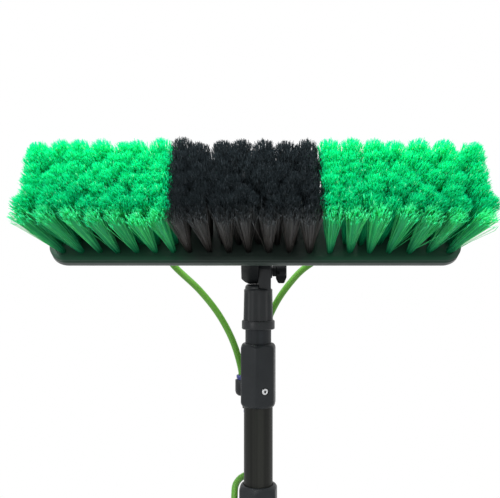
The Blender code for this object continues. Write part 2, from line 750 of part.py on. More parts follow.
def block():
    face = FACE_REACH
    back = FACE_REACH - BLOCK_THICK
    rim = FACE_REACH - BLOCK_WALL

    def ring(inset, s):
        corner = max(BLOCK_CORNER_R - inset, 0.004)
        around = rounded_box(BLOCK_LENGTH / 2 - inset, BLOCK_WIDTH / 2 - inset, corner)
        return [(x + BLOCK_SHIFT_X, e + BLOCK_SHIFT_E, s) for x, e in around]

    body = loft(
        [
            ring(BLOCK_BACK_INSET, back),
            ring(BLOCK_BACK_INSET * 0.28, back + (rim - back) * 0.55),
            ring(0.0006, rim),
            ring(0.0, face - FACE_EDGE),
            ring(FACE_EDGE * 0.3, face - FACE_EDGE * 0.3),
            ring(FACE_EDGE, face),
            ring(POCKET_RIM, face),
            ring(POCKET_RIM, face - POCKET_DEPTH),
        ]
    )
    jet_e = BLOCK_SHIFT_E + JET_ROW * ROW_PITCH
    for _, x in jet_places():
        drill = turned([(JET_R + HOLE_GAP, back - 0.002), (JET_R + HOLE_GAP, face)], 16)
        body = cut(body, moved(drill, Matrix.Translation((x, jet_e, 0))))
    for side in (-1, 1):
        drill = turned([(SCREW_R + HOLE_GAP, back - 0.002), (SCREW_R + HOLE_GAP, back + SCREW_DEPTH)], 16)
        body = cut(body, moved(drill, Matrix.Translation((side * PLATE_SCREW_X, BLOCK_SHIFT_E, 0))))
    put("brush_block", body, "gloss_plastic", (0, 0, PIVOT_Z), head_frame())


def tuft_lean(column, row):
    """Outward lean of a tuft along and across the brush."""
    last = (3 * COLUMNS_PER_BANK - 1) / 2
    u = (column - last) / last
    v = (row - (ROWS - 1) / 2) / ((ROWS - 1) / 2)
    along = math.copysign(abs(u) ** LEAN_POWER, u) * END_LEAN
    return along, v * SIDE_LEAN


def bristles():
    at = (0, 0, PIVOT_Z)
    last = (3 * COLUMNS_PER_BANK - 1) / 2
    bank = COLUMNS_PER_BANK * COLUMN_PITCH
    floor = FACE_REACH - POCKET_DEPTH + FACE_GAP
    face = FACE_REACH - FACE_GAP / 3
    half_e = BLOCK_WIDTH / 2 - POCKET_RIM - FACE_GAP
    half_all = BLOCK_LENGTH / 2 - POCKET_RIM - FACE_GAP
    jet_e = BLOCK_SHIFT_E + JET_ROW * ROW_PITCH
    for index, name in enumerate(("bristles_left", "bristles_centre", "bristles_right")):
        x0 = (-1.5 + index) * bank + FACE_GAP / 2
        x1 = x0 + bank - FACE_GAP
        if index == 0:
            x0 = -half_all
        if index == 2:
            x1 = half_all
        corner = BLOCK_CORNER_R - POCKET_RIM - FACE_GAP
        around = slice_outline(x0, x1, half_e, corner, index)
        plate = loft([[(x + BLOCK_SHIFT_X, e + BLOCK_SHIFT_E, s) for x, e in around] for s in (floor, face)])
        for _, x in jet_places():
            if x0 < x - BLOCK_SHIFT_X < x1:
                drill = turned([(JET_R + HOLE_GAP, floor - 0.002), (JET_R + HOLE_GAP, face + 0.002)], 12)
                plate = cut(plate, moved(drill, Matrix.Translation((x, jet_e, 0))))
        verts = []
        faces = []
        for c in range(COLUMNS_PER_BANK):
            for row in range(ROWS):
                column = index * COLUMNS_PER_BANK + c
                root_x = (column - last) * COLUMN_PITCH + BLOCK_SHIFT_X
                root_e = (row - (ROWS - 1) / 2) * ROW_PITCH + BLOCK_SHIFT_E
                add_tuft(verts, faces, root_x, root_e, face, tuft_lean(column, row))
        tufts = mesh_of(verts, faces)
        kind = "black_nylon" if index == 1 else "green_nylon"
        put(name, fuse(plate, tufts), kind, at, head_frame())


def slice_outline(x0, x1, half_e, corner, index):
    """Outline of one backing slice, round at the ends of the brush only."""
    points = []
    for cx, cy, start in ((1, 1, 0.0), (-1, 1, 0.5), (-1, -1, 1.0), (1, -1, 1.5)):
        x = x1 if cx > 0 else x0
        round_here = (index == 0 and cx < 0) or (index == 2 and cx > 0)
        if not round_here:
            points.append((x, cy * half_e))
            continue
        for i in range(6):
            a = math.pi * start + 0.5 * math.pi * i / 5
            points.append((x - cx * corner + corner * math.cos(a), cy * (half_e - corner) + corner * math.sin(a)))
    return points


def add_tuft(verts, faces, x, e, face, lean):
    """Tapered three sided strands that spread from one hole of the face."""
    along, across = lean
    sink = POCKET_DEPTH * 0.45
    for k in range(STRANDS_PER_TUFT):
        a = math.pi / 4 + 2 * math.pi * k / STRANDS_PER_TUFT
        root = np.array([x + TUFT_R * math.cos(a), e + TUFT_R * math.sin(a), face])
        spread = TUFT_TIP_R - TUFT_R
        way = np.array([math.tan(along), math.tan(across), 1.0])
        way[0] += spread * math.cos(a) / BRISTLE_LENGTH
        way[1] += spread * math.sin(a) / BRISTLE_LENGTH
        way /= np.linalg.norm(way)
        first = len(verts)
        for t, r in ((-sink, STRAND_ROOT_R), (BRISTLE_LENGTH, STRAND_TIP_R)):
            mid = root + way * t
            for i in range(3):
                b = a + 2 * math.pi * i / 3
                verts.append(tuple(mid + np.array([r * math.cos(b), r * math.sin(b), 0.0])))
        f = first
        faces.extend([(f, f + 1, f + 4, f + 3), (f + 1, f + 2, f + 5, f + 4), (f + 2, f, f + 3, f + 5)])
        faces.extend([(f, f + 2, f + 1), (f + 3, f + 4, f + 5)])


def jets():
    at = (0, 0, PIVOT_Z)
    back = FACE_REACH - BLOCK_THICK
    floor = FACE_REACH - POCKET_DEPTH
    low = back - FACE_GAP - JET_SOCKET_L
    flange_out = back - FACE_GAP
    flange_in = flange_out - JET_FLANGE_H
    bore = HOSE_R + HOLE_GAP
    stem = [
        (bore, flange_in),
        (bore, low),
        (JET_SOCKET_R - 0.0006, low),
        (JET_SOCKET_R, low + 0.0006),
        (JET_SOCKET_R, flange_in),
        (JET_FLANGE_R, flange_in),
        (JET_FLANGE_R, flange_out),
        (JET_R, flange_out),
        (JET_R, floor - FACE_GAP),
        (JET_ORIFICE_R, floor - FACE_GAP),
        (JET_ORIFICE_R, flange_in),
    ]
    tip = FACE_REACH + JET_TIP_OUT
    nozzle = [
        (JET_ORIFICE_R, floor),
        (JET_R, floor),
        (JET_R, tip - 0.0030),
        (JET_R * 0.62, tip),
        (JET_ORIFICE_R, tip),
    ]
    for side, x in jet_places():
        place = Matrix.Translation((x, BLOCK_SHIFT_E + JET_ROW * ROW_PITCH, 0))
        put("jet_stem_" + side, moved(turned(stem, 16, True), place), "nozzle_plastic", at, head_frame())
        put("jet_nozzle_" + side, moved(turned(nozzle, 16, True), place), "brass", at, head_frame())


def outlet_x(side):
    return FITTING_X + (-0.5 if side == "left" else 0.5) * OUTLET_PITCH


def water_fitting():
    """Push in Y fitting behind the middle collar, with a release collet on each port."""
    top = PIVOT_Z - OUTLET_TOP_DROP
    low = top - OUTLET_L
    foot = PIVOT_Z - INLET_LOW_DROP
    bend = 0.0016

    def barrel(x, z0, z1):
        body = [(BARREL_R - bend, z0), (BARREL_R, z0 + bend), (BARREL_R, z1 - 0.0006), (BARREL_R - 0.0006, z1)]
        return moved(turned(body, 16), Matrix.Translation((x, FITTING_Y, 0)))

    left = barrel(outlet_x("left"), low, top)
    right = barrel(outlet_x("right"), low, top)
    stem = moved(
        turned([(BARREL_R - 0.0006, foot), (BARREL_R, foot + 0.0006), (BARREL_R, low + 0.006)], 16),
        Matrix.Translation((FITTING_X, FITTING_Y, 0)),
    )
    web_z = (low + 0.0030, top - 0.0030)
    web = rounded_box(OUTLET_PITCH / 2, BARREL_R * 0.7, 0.001, 3)
    bridge = loft([[(x + FITTING_X, y + FITTING_Y, z) for x, y in web] for z in web_z])
    body = fuse(fuse(fuse(left, stem), right), bridge)
    bore = HOSE_R + HOLE_GAP
    well = COLLET_SLEEVE_R + HOLE_GAP
    well_l = COLLET_SLEEVE_L + COLLET_PRESS
    for side in ("left", "right"):
        place = Matrix.Translation((outlet_x(side), FITTING_Y, 0))
        port = [(CHANNEL_R, low + 0.0040), (CHANNEL_R, top - HOSE_IN - FACE_GAP)]
        port += [(bore, top - HOSE_IN - FACE_GAP), (bore, top - well_l), (well, top - well_l), (well, top + 0.002)]
        body = cut(body, moved(turned(port, 12), place))
    place = Matrix.Translation((FITTING_X, FITTING_Y, 0))
    port = [(well, foot - 0.002), (well, foot + well_l), (bore, foot + well_l), (bore, foot + HOSE_IN + FACE_GAP)]
    port += [(CHANNEL_R, foot + HOSE_IN + FACE_GAP), (CHANNEL_R, low + 0.0050)]
    body = cut(body, moved(turned(port, 12), place))
    cross = along_x([(CHANNEL_R * 0.95, outlet_x("left")), (CHANNEL_R * 0.95, outlet_x("right"))], 8)
    body = cut(body, moved(cross, Matrix.Translation((0, FITTING_Y, low + 0.0050))))
    put("y_fitting", body, "black_plastic")
    eye = HOSE_R + HOLE_GAP

    def collet(name, x, end_z, way):
        ring = [
            (eye, -COLLET_SLEEVE_L),
            (COLLET_SLEEVE_R, -COLLET_SLEEVE_L),
            (COLLET_SLEEVE_R, COLLET_PRESS + FIT_GAP),
            (COLLET_R, COLLET_PRESS + FIT_GAP),
            (COLLET_R, COLLET_PRESS + COLLET_SHOW * 0.8),
            (COLLET_R * 0.94, COLLET_PRESS + COLLET_SHOW),
            (eye, COLLET_PRESS + COLLET_SHOW),
        ]
        turn = None if way > 0 else Matrix.Rotation(math.pi, 4, "X")
        put(name, turned(ring, 16, True), "blue_plastic", (x, FITTING_Y, end_z), turn)

    collet("collet_left", outlet_x("left"), top, 1)
    collet("collet_right", outlet_x("right"), top, 1)
    collet("collet_inlet", FITTING_X, foot, -1)


def branch_route(side):
    """Route of one branch hose, from its outlet up behind the block to its jet."""
    x0 = outlet_x(side)
    top = PIVOT_Z - OUTLET_TOP_DROP
    jet_x = dict(jet_places())[side]
    jet_e = BLOCK_SHIFT_E + JET_ROW * ROW_PITCH
    route = [(x0, FITTING_Y, top - HOSE_IN), (x0, FITTING_Y, top), (x0, FITTING_Y, top + 0.0050)]
    for share, dy, dz in BRANCH_CLIMB[side]:
        route.append((x0 + share * (jet_x - x0), FITTING_Y + dy, top + dz))
    s0 = BRANCH_STRAIGHT_S[side]
    mouth = FACE_REACH - BLOCK_THICK - FACE_GAP - JET_SOCKET_L
    inside = FACE_REACH - BLOCK_THICK - FACE_GAP - JET_FLANGE_H - FACE_GAP
    for s in (s0, (s0 + mouth) / 2, mouth, inside):
        route.append(to_world(jet_x, jet_e, s))
    return smooth_route(route, HOSE_POINT_STEP)


def hank_points():
    """Folded loops that spiral in and out, layer by layer, drawn in at the waist."""
    turns = HANK_LAYERS * HANK_LOOPS_PER_LAYER
    outer = HANK_INNER_R + HANK_LOOPS_PER_LAYER * HANK_STEP
    z_high = PIVOT_Z - HANK_TOP_DROP
    half = HANK_RUN / 2
    z_mid = z_high - half
    run_points = HANK_POINTS // 2 - 6
    fold_points = HANK_POINTS // 2 - run_points
    points = []

    def state(turn):
        layer = min(int(turn / HANK_LOOPS_PER_LAYER), HANK_LAYERS - 1)
        done = turn - layer * HANK_LOOPS_PER_LAYER
        held = min(max(done - 0.25, 0.0), HANK_LOOPS_PER_LAYER - 0.5)
        share = held * HANK_LOOPS_PER_LAYER / (HANK_LOOPS_PER_LAYER - 0.5)
        if layer % 2:
            share = HANK_LOOPS_PER_LAYER - share
        radius = outer - share * HANK_STEP
        climb = 0.0
        if layer > 0 and done < 0.25:
            climb = 1.0 - done / 0.25
        return radius, layer - climb

    def place(turn, side, z, arc=None):
        radius, level = state(turn)
        x = HANK_X - level * HANK_STEP
        if arc is None:
            pull = HANK_WAIST * (0.5 + 0.5 * math.cos(math.pi * (z - z_mid) / half))
            return (x, HANK_Y + side * (radius - pull), z)
        return (x, HANK_Y + radius * math.cos(arc), z + radius * math.sin(arc))

    for loop in range(turns):
        for i in range(run_points):
            f = i / run_points
            points.append(place(loop + 0.25 * f, -1, z_high - HANK_RUN * f))
        for i in range(fold_points):
            f = i / fold_points
            points.append(place(loop + 0.25 + 0.25 * f, 0, z_high - HANK_RUN, math.pi + math.pi * f))
        for i in range(run_points):
            f = i / run_points
            points.append(place(loop + 0.5 + 0.25 * f, 1, z_high - HANK_RUN + HANK_RUN * f))
        for i in range(fold_points):
            f = i / fold_points
            points.append(place(loop + 0.75 + 0.25 * f, 0, z_high, math.pi * f))
    last = turns - 1e-6
    flare = 0.25 * HANK_STEP * HANK_LOOPS_PER_LAYER / (HANK_LOOPS_PER_LAYER - 0.5)
    for i in range(run_points + 1):
        f = i / run_points
        x, y, z = place(last, -1, z_high - HANK_RUN * f)
        points.append((x, y - flare * f, z))
    return np.array(points)


def own_gap(points):
    """Least gap of a wound tube to itself, between points that are not near along it."""
    dense = []
    for a, b in zip(points[:-1], points[1:]):
        for f in (0.0, 0.25, 0.5, 0.75):
            dense.append(a + (b - a) * f)
    dense = np.array(dense)
    run = np.concatenate([[0], np.cumsum(np.linalg.norm(np.diff(dense, axis=0), axis=1))])
    best = 9.0
    for i in range(len(dense)):
        far = np.abs(run - run[i]) > 8 * HOSE_R
        if far.any():
            best = min(best, float(np.linalg.norm(dense[far] - dense[i], axis=1).min()))
    return best - 2 * HOSE_R


def supply_hose():
    hank = hank_points()
    print("hank loops", HANK_LAYERS * HANK_LOOPS_PER_LAYER, "least gap mm", round(own_gap(hank) * 1000, 2))
    foot = PIVOT_Z - INLET_LOW_DROP
    first = hank[0]
    x0 = FITTING_X
    y0 = FITTING_Y
    route = [(x0, y0, foot + HOSE_IN), (x0, y0, foot), (x0, y0, foot - 0.006)]
    for dx, dy, dz in RUN_FALL:
        route.append((x0 + dx, y0 + dy, foot - dz))
    route.append((first[0] + 0.0004, first[1], first[2] + 0.012))
    route.append((first[0], first[1], first[2] + FACE_GAP))
    tube("hose_run", smooth_route(route, HOSE_POINT_STEP), "green_hose", HOSE_SIDES_RES)
    tube("hose_hank", hank, "green_hose", 1)
    end = hank[-1]
    tail_low = end[2] - TAIL_L
    tail = [(end[0], end[1], z) for z in np.linspace(end[2] - FACE_GAP, tail_low, 6)]
    tube("hose_tail", tail, "green_hose", HOSE_SIDES_RES)
    hose_plug(end[0], end[1], tail_low)
    tie(hank)


def hose_plug(x, y, mouth_z):
    """Hose end: a body that grips the hose under a ribbed nut, and a nipple for a tap coupling."""
    grip_in = 0.0100
    bore = HOSE_R + HOLE_GAP
    nut_low = mouth_z + grip_in - PLUG_NUT_L
    body_top = nut_low - FACE_GAP
    body_low = body_top - PLUG_BODY_L
    waist = PLUG_NIPPLE_R * 0.78
    body = [
        (0.0022, body_low - PLUG_NIPPLE_L),
        (PLUG_NIPPLE_R * 0.86, body_low - PLUG_NIPPLE_L),
        (PLUG_NIPPLE_R, body_low - PLUG_NIPPLE_L + 0.0012),
        (PLUG_NIPPLE_R, body_low - PLUG_NIPPLE_L * 0.66),
        (waist, body_low - PLUG_NIPPLE_L * 0.56),
        (waist, body_low - PLUG_NIPPLE_L * 0.38),
        (PLUG_NIPPLE_R, body_low - PLUG_NIPPLE_L * 0.28),
        (PLUG_NIPPLE_R, body_low),
        (PLUG_BODY_R, body_low + 0.0010),
        (PLUG_BODY_R, body_top - 0.0010),
        (PLUG_BODY_R - 0.0010, body_top),
        (0.0022, body_top),
    ]
    place = Matrix.Translation((x, y, 0))
    put("hose_connector", moved(turned(body, 16, True), place), "black_plastic")
    sides = PLUG_NUT_RIBS * 2
    top = mouth_z + grip_in

    def ribbed(radius, z):
        ring = []
        for i in range(sides):
            a = 2 * math.pi * i / sides
            r = radius * (1.0 if i % 2 else 0.93)
            ring.append((r * math.cos(a), r * math.sin(a), z))
        return ring

    step = 0.0014
    nut = loft(
        [
            circle(bore, top, sides),
            circle(PLUG_NUT_R * 0.78, top, sides),
            ribbed(PLUG_NUT_R, top - 2 * step),
            ribbed(PLUG_NUT_R, nut_low + step),
            circle(PLUG_NUT_R * 0.88, nut_low, sides),
            circle(bore, nut_low, sides),
        ],
        closed=True,
    )
    put("connector_nut", moved(nut, place), "grey_plastic")


def tie(hank):
    """Hook and loop strap round the waist of the hank."""
    z_mid = PIVOT_Z - HANK_TOP_DROP - HANK_RUN / 2
    outer = HANK_INNER_R + HANK_LOOPS_PER_LAYER * HANK_STEP
    half_y = outer - HANK_WAIST + HOSE_R + TIE_GAP + HANK_STEP / 4
    half_x = (HANK_LAYERS - 1) * HANK_STEP / 2 + HOSE_R + TIE_GAP
    mid_x = HANK_X - (HANK_LAYERS - 1) * HANK_STEP / 2
    rings = []
    for grow, z in (
        (0.0, z_mid - TIE_WIDTH / 2),
        (TIE_T, z_mid - TIE_WIDTH / 2),
        (TIE_T, z_mid + TIE_WIDTH / 2),
        (0.0, z_mid + TIE_WIDTH / 2),
    ):
        around = rounded_box(half_x + grow, half_y + grow, HOSE_R + TIE_GAP + grow, 6)
        rings.append([(x + mid_x, y + HANK_Y, z) for x, y in around])
    put("hank_tie", loft(rings, closed=True), "strap")


def main():
    clear_scene()
    pole()
    pivot()
    bracket()
    block()
    bristles()
    jets()
    water_fitting()
    for side in ("left", "right"):
        tube("hose_" + side, branch_route(side), "green_hose", HOSE_SIDES_RES)
    supply_hose()


main()
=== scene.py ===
"""Looks of a window cleaning pole system: a telescopic pole that carries a tilting, water fed brush."""

import json
import math

import bmesh
import bpy
import numpy as np
from mathutils import Matrix, Vector
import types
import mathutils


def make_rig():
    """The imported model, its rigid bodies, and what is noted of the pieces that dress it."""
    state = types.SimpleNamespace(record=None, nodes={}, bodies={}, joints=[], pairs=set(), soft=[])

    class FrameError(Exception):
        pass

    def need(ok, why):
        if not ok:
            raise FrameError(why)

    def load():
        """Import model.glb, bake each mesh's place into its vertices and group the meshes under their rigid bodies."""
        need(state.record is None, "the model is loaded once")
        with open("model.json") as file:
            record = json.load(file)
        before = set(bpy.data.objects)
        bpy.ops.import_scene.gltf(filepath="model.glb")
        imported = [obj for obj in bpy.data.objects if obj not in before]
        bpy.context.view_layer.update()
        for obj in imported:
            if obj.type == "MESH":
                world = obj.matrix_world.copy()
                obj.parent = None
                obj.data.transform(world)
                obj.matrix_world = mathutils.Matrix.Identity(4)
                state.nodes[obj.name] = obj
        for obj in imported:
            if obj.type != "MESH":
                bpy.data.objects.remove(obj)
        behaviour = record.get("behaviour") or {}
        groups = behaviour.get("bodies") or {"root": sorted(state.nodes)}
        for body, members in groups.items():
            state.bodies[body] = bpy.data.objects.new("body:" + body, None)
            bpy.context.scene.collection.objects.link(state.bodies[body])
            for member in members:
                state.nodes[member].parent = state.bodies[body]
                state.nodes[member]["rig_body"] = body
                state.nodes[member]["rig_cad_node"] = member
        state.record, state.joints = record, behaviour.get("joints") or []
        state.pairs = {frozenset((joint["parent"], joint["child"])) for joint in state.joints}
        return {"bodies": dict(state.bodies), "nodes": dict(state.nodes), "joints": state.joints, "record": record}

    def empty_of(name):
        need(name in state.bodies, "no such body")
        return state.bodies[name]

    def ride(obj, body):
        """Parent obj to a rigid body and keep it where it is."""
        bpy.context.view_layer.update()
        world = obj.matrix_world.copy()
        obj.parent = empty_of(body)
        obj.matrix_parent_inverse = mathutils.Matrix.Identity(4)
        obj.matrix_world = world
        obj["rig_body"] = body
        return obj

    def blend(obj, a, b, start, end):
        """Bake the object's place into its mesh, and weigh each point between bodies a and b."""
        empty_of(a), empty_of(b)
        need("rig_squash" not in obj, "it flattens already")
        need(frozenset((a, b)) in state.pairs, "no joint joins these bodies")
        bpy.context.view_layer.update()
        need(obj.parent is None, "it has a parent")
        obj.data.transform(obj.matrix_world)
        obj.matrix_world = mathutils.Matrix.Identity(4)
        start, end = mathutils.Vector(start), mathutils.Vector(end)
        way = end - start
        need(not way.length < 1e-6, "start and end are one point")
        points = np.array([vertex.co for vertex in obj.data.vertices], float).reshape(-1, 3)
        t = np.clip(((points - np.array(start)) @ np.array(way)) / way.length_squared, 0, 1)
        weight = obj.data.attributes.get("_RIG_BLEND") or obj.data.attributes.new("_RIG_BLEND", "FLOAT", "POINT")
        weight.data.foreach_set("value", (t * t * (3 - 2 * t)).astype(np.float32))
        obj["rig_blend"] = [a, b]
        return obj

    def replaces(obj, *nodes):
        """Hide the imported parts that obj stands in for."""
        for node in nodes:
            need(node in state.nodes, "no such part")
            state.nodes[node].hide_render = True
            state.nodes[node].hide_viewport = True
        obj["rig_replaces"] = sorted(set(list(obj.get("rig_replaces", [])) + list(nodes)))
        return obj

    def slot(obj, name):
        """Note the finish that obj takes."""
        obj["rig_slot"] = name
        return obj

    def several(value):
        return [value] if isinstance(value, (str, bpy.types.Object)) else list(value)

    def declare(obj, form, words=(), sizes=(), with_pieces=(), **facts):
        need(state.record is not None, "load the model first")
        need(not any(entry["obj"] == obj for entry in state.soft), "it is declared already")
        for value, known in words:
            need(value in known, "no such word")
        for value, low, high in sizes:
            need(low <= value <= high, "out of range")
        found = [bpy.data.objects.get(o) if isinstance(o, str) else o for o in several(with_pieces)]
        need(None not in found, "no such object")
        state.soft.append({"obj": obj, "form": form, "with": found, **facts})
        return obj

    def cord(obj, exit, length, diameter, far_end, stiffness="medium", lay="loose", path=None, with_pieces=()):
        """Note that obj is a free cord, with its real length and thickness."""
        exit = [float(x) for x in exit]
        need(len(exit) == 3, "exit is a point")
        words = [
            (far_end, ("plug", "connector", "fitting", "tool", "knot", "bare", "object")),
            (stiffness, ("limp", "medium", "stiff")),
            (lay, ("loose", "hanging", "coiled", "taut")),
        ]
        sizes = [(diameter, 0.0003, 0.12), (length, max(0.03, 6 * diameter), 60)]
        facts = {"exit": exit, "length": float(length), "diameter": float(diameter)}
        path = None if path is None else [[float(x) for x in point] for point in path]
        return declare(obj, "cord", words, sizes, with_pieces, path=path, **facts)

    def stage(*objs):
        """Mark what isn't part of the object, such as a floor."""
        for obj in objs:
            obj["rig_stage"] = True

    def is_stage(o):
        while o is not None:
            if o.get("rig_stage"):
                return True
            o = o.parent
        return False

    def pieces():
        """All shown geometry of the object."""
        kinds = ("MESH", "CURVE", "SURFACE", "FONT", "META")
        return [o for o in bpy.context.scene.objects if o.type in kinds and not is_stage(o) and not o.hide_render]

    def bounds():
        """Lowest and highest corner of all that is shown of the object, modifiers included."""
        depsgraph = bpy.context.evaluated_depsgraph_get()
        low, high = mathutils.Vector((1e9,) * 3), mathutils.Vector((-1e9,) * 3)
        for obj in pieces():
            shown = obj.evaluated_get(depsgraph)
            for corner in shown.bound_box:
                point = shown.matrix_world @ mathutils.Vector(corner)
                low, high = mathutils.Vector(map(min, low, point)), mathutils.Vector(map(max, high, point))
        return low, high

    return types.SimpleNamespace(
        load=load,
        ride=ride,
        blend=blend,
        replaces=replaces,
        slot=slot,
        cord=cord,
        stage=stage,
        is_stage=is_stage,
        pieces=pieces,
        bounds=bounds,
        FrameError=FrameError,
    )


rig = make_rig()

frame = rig.load()
nodes = frame["nodes"]
cad_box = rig.bounds()
scene = bpy.context.scene
rng = np.random.default_rng(7)

PIVOT_Z = 1.0
TILT = math.radians(60.0)
HOSE_R = 0.003
HOSE_SIDE = (0.3, 1.0, 0.1)
ROUTE_STEPS = 24
FIT_GAP = 0.00015
HOLE_GAP = 0.0003
SEAT_GAP = 0.0003
SAME_POINT = 1e-6
TINY = 1e-9


def head(x, e, s):
    """A point of the brush head, given along, across and out of the block."""
    c, n = math.cos(TILT), math.sin(TILT)
    return (x, e * c - s * n, PIVOT_Z + e * n + s * c)


# Shapes: a shape is a list of corners and a list of faces


def loft(rings, closed=False):
    count = len(rings[0])
    verts = [tuple(p) for ring in rings for p in ring]
    faces = []
    for k in range(len(rings) if closed else len(rings) - 1):
        a = k * count
        b = ((k + 1) % len(rings)) * count
        for i in range(count):
            j = (i + 1) % count
            faces.append((a + i, a + j, b + j, b + i))
    if not closed:
        faces.append(tuple(range(count))[::-1])
        faces.append(tuple(range((len(rings) - 1) * count, len(rings) * count)))
    return verts, faces


def fillet(points, radius, steps):
    """A closed outline with its corners rounded."""
    out = []
    corners = np.array(points, float)
    for i, p in enumerate(corners):
        u = corners[i - 1] - p
        v = corners[(i + 1) % len(corners)] - p
        u /= np.linalg.norm(u)
        v /= np.linalg.norm(v)
        half = 0.5 * math.acos(u @ v)
        reach = radius / math.tan(half)
        centre = p + (u + v) / np.linalg.norm(u + v) * (radius / math.sin(half))
        a, b = p + u * reach - centre, p + v * reach - centre
        whole = math.pi - 2 * half
        for k in range(steps + 1):
            f = k / steps
            w = (math.sin((1 - f) * whole) * a + math.sin(f * whole) * b) / math.sin(whole)
            out.append(tuple(centre + w))
    return out


def circle(radius, z, sides):
    turn = [2 * math.pi * i / sides for i in range(sides)]
    return [(radius * math.cos(a), radius * math.sin(a), z) for a in turn]


def turned(profile, sides=48, closed=False):
    return loft([circle(r, z, sides) for r, z in profile], closed)


def moved(shape, matrix):
    verts, faces = shape
    return [tuple(matrix @ Vector(v)) for v in verts], faces


def shifted(shape, x, y, z=0.0):
    return moved(shape, Matrix.Translation((x, y, z)))


def in_head(shape):
    verts, faces = shape
    return [head(*v) for v in verts], faces


ALONG_X = Matrix(((0, 0, 1, 0), (1, 0, 0, 0), (0, 1, 0, 0), (0, 0, 0, 1)))


def along_x(profile, sides=48, closed=False):
    return moved(turned(profile, sides, closed), ALONG_X)


def units(vectors):
    return vectors / np.maximum(np.linalg.norm(vectors, axis=1), TINY)[:, None]


def inset(points, by):
    """Offset a closed outline inward along its corner normals."""
    p = np.array(points, float)
    before, after = np.roll(p, 1, axis=0), np.roll(p, -1, axis=0)
    area = 0.5 * np.sum(p[:, 0] * after[:, 1] - after[:, 0] * p[:, 1])
    a, b = units(p - before), units(after - p)
    way = units(a + b)
    normal = np.stack([-way[:, 1], way[:, 0]], axis=1) * math.copysign(1, area)
    stretch = np.maximum(np.abs((normal * np.stack([-a[:, 1], a[:, 0]], 1)).sum(1)), 0.5)
    return p + normal * (by / stretch)[:, None]


def slab(outline, low, high, radius, place, steps=4):
    """A plate with rounded edges: place(u, v, w) puts a point of its outline at a depth."""
    edge = []
    for k in range(steps + 1):
        a = 0.5 * math.pi * k / steps
        edge.append((radius * (1 - math.sin(a)), radius * (1 - math.cos(a))))
    rings = [(by, low + d) for by, d in edge] + [(by, high - d) for by, d in reversed(edge)]
    return loft([[place(u, v, w) for u, v in inset(outline, by)] for by, w in rings])


def rounded_box(half_x, half_y, radius, steps=8):
    corners = [(half_x, half_y), (-half_x, half_y), (-half_x, -half_y), (half_x, -half_y)]
    return fillet(corners, radius, steps)


def radial(shape, bearing, z):
    turn = Matrix.Rotation(bearing, 4, "Z") @ Matrix.Rotation(math.pi / 2, 4, "Y")
    return moved(shape, Matrix.Translation((0, 0, z)) @ turn)


def smooth_route(points, spacing):
    """Evenly spaced points on a centripetal curve through the route's own points."""
    p = [np.array(q, float) for q in points]
    p = [2 * p[0] - p[1]] + p + [2 * p[-1] - p[-2]]

    def between(t, start, end, a, b):
        return (end - t) / (end - start) * a + (t - start) / (end - start) * b

    fine = []
    for q0, q1, q2, q3 in zip(p, p[1:], p[2:], p[3:]):
        gaps = [math.sqrt(np.linalg.norm(b - a)) for a, b in ((q0, q1), (q1, q2), (q2, q3))]
        t0, t1, t2, t3 = np.cumsum([0.0] + gaps)
        for t in np.linspace(t1, t2, ROUTE_STEPS, endpoint=False):
            middle = between(t, t1, t2, q1, q2)
            early = between(t, t0, t2, between(t, t0, t1, q0, q1), middle)
            late = between(t, t1, t3, middle, between(t, t2, t3, q2, q3))
            fine.append(between(t, t1, t2, early, late))
    fine.append(p[-2])
    fine = np.array(fine)
    run = np.concatenate([[0], np.cumsum(np.linalg.norm(np.diff(fine, axis=0), axis=1))])
    at = np.linspace(0, run[-1], int(round(run[-1] / spacing)) + 1)
    return np.stack([np.interp(at, run, fine[:, k]) for k in range(3)], axis=1)


def hose(points, radius, sides):
    """A round tube along points, with a frame carried along so that it doesn't twist."""
    p = np.array(points)
    tangent = np.gradient(p, axis=0)
    tangent /= np.linalg.norm(tangent, axis=1)[:, None]
    side = np.cross(tangent[0], HOSE_SIDE)
    rings = []
    for q, t in zip(p, tangent):
        side = side - t * (side @ t)
        side /= np.linalg.norm(side)
        up = np.cross(t, side)
        rings.append([tuple(q + u * side + v * up) for u, v, _ in circle(radius, 0.0, sides)])
    return loft(rings)


def mesh_from(name, shapes):
    verts, faces = [], []
    for v, f in shapes:
        base = len(verts)
        verts.extend(v)
        faces.extend(tuple(i + base for i in face) for face in f)
    mesh = bpy.data.meshes.new(name)
    mesh.from_pydata(verts, [], faces)
    bm = bmesh.new()
    bm.from_mesh(mesh)
    bmesh.ops.remove_doubles(bm, verts=bm.verts, dist=SAME_POINT)
    bmesh.ops.recalc_face_normals(bm, faces=bm.faces)
    bm.to_mesh(mesh)
    bm.free()
    return mesh


def shade(mesh, angle):
    mesh.shade_smooth()
    mesh.set_sharp_from_angle(angle=math.radians(angle))


def add_object(name, mesh, material):
    mesh.materials.append(material)
    obj = bpy.data.objects.new(name, mesh)
    scene.collection.objects.link(obj)
    return obj


def piece(name, shapes, material, body, stands_for=(), slot=None, angle=32, ride=True):
    mesh = mesh_from(name, shapes)
    shade(mesh, angle)
    obj = add_object(name, mesh, material)
    if ride:
        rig.ride(obj, body)
    if stands_for:
        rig.replaces(obj, *stands_for)
    if slot:
        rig.slot(obj, slot)
    return obj


def cut_out(obj, shape, angle):
    """Take a shape away from a piece for good."""
    tool = bpy.data.objects.new("tool", mesh_from("tool", [shape]))
    scene.collection.objects.link(tool)
    step = obj.modifiers.new("step", "BOOLEAN")
    step.solver = "EXACT"
    step.use_self = True
    step.object = tool
    bpy.context.view_layer.update()
    made = bpy.data.meshes.new_from_object(obj.evaluated_get(bpy.context.evaluated_depsgraph_get()))
    obj.modifiers.clear()
    old = obj.data
    obj.data = made
    made.name = obj.name
    bpy.data.meshes.remove(old)
    bpy.data.objects.remove(tool, do_unlink=True)
    shade(made, angle)


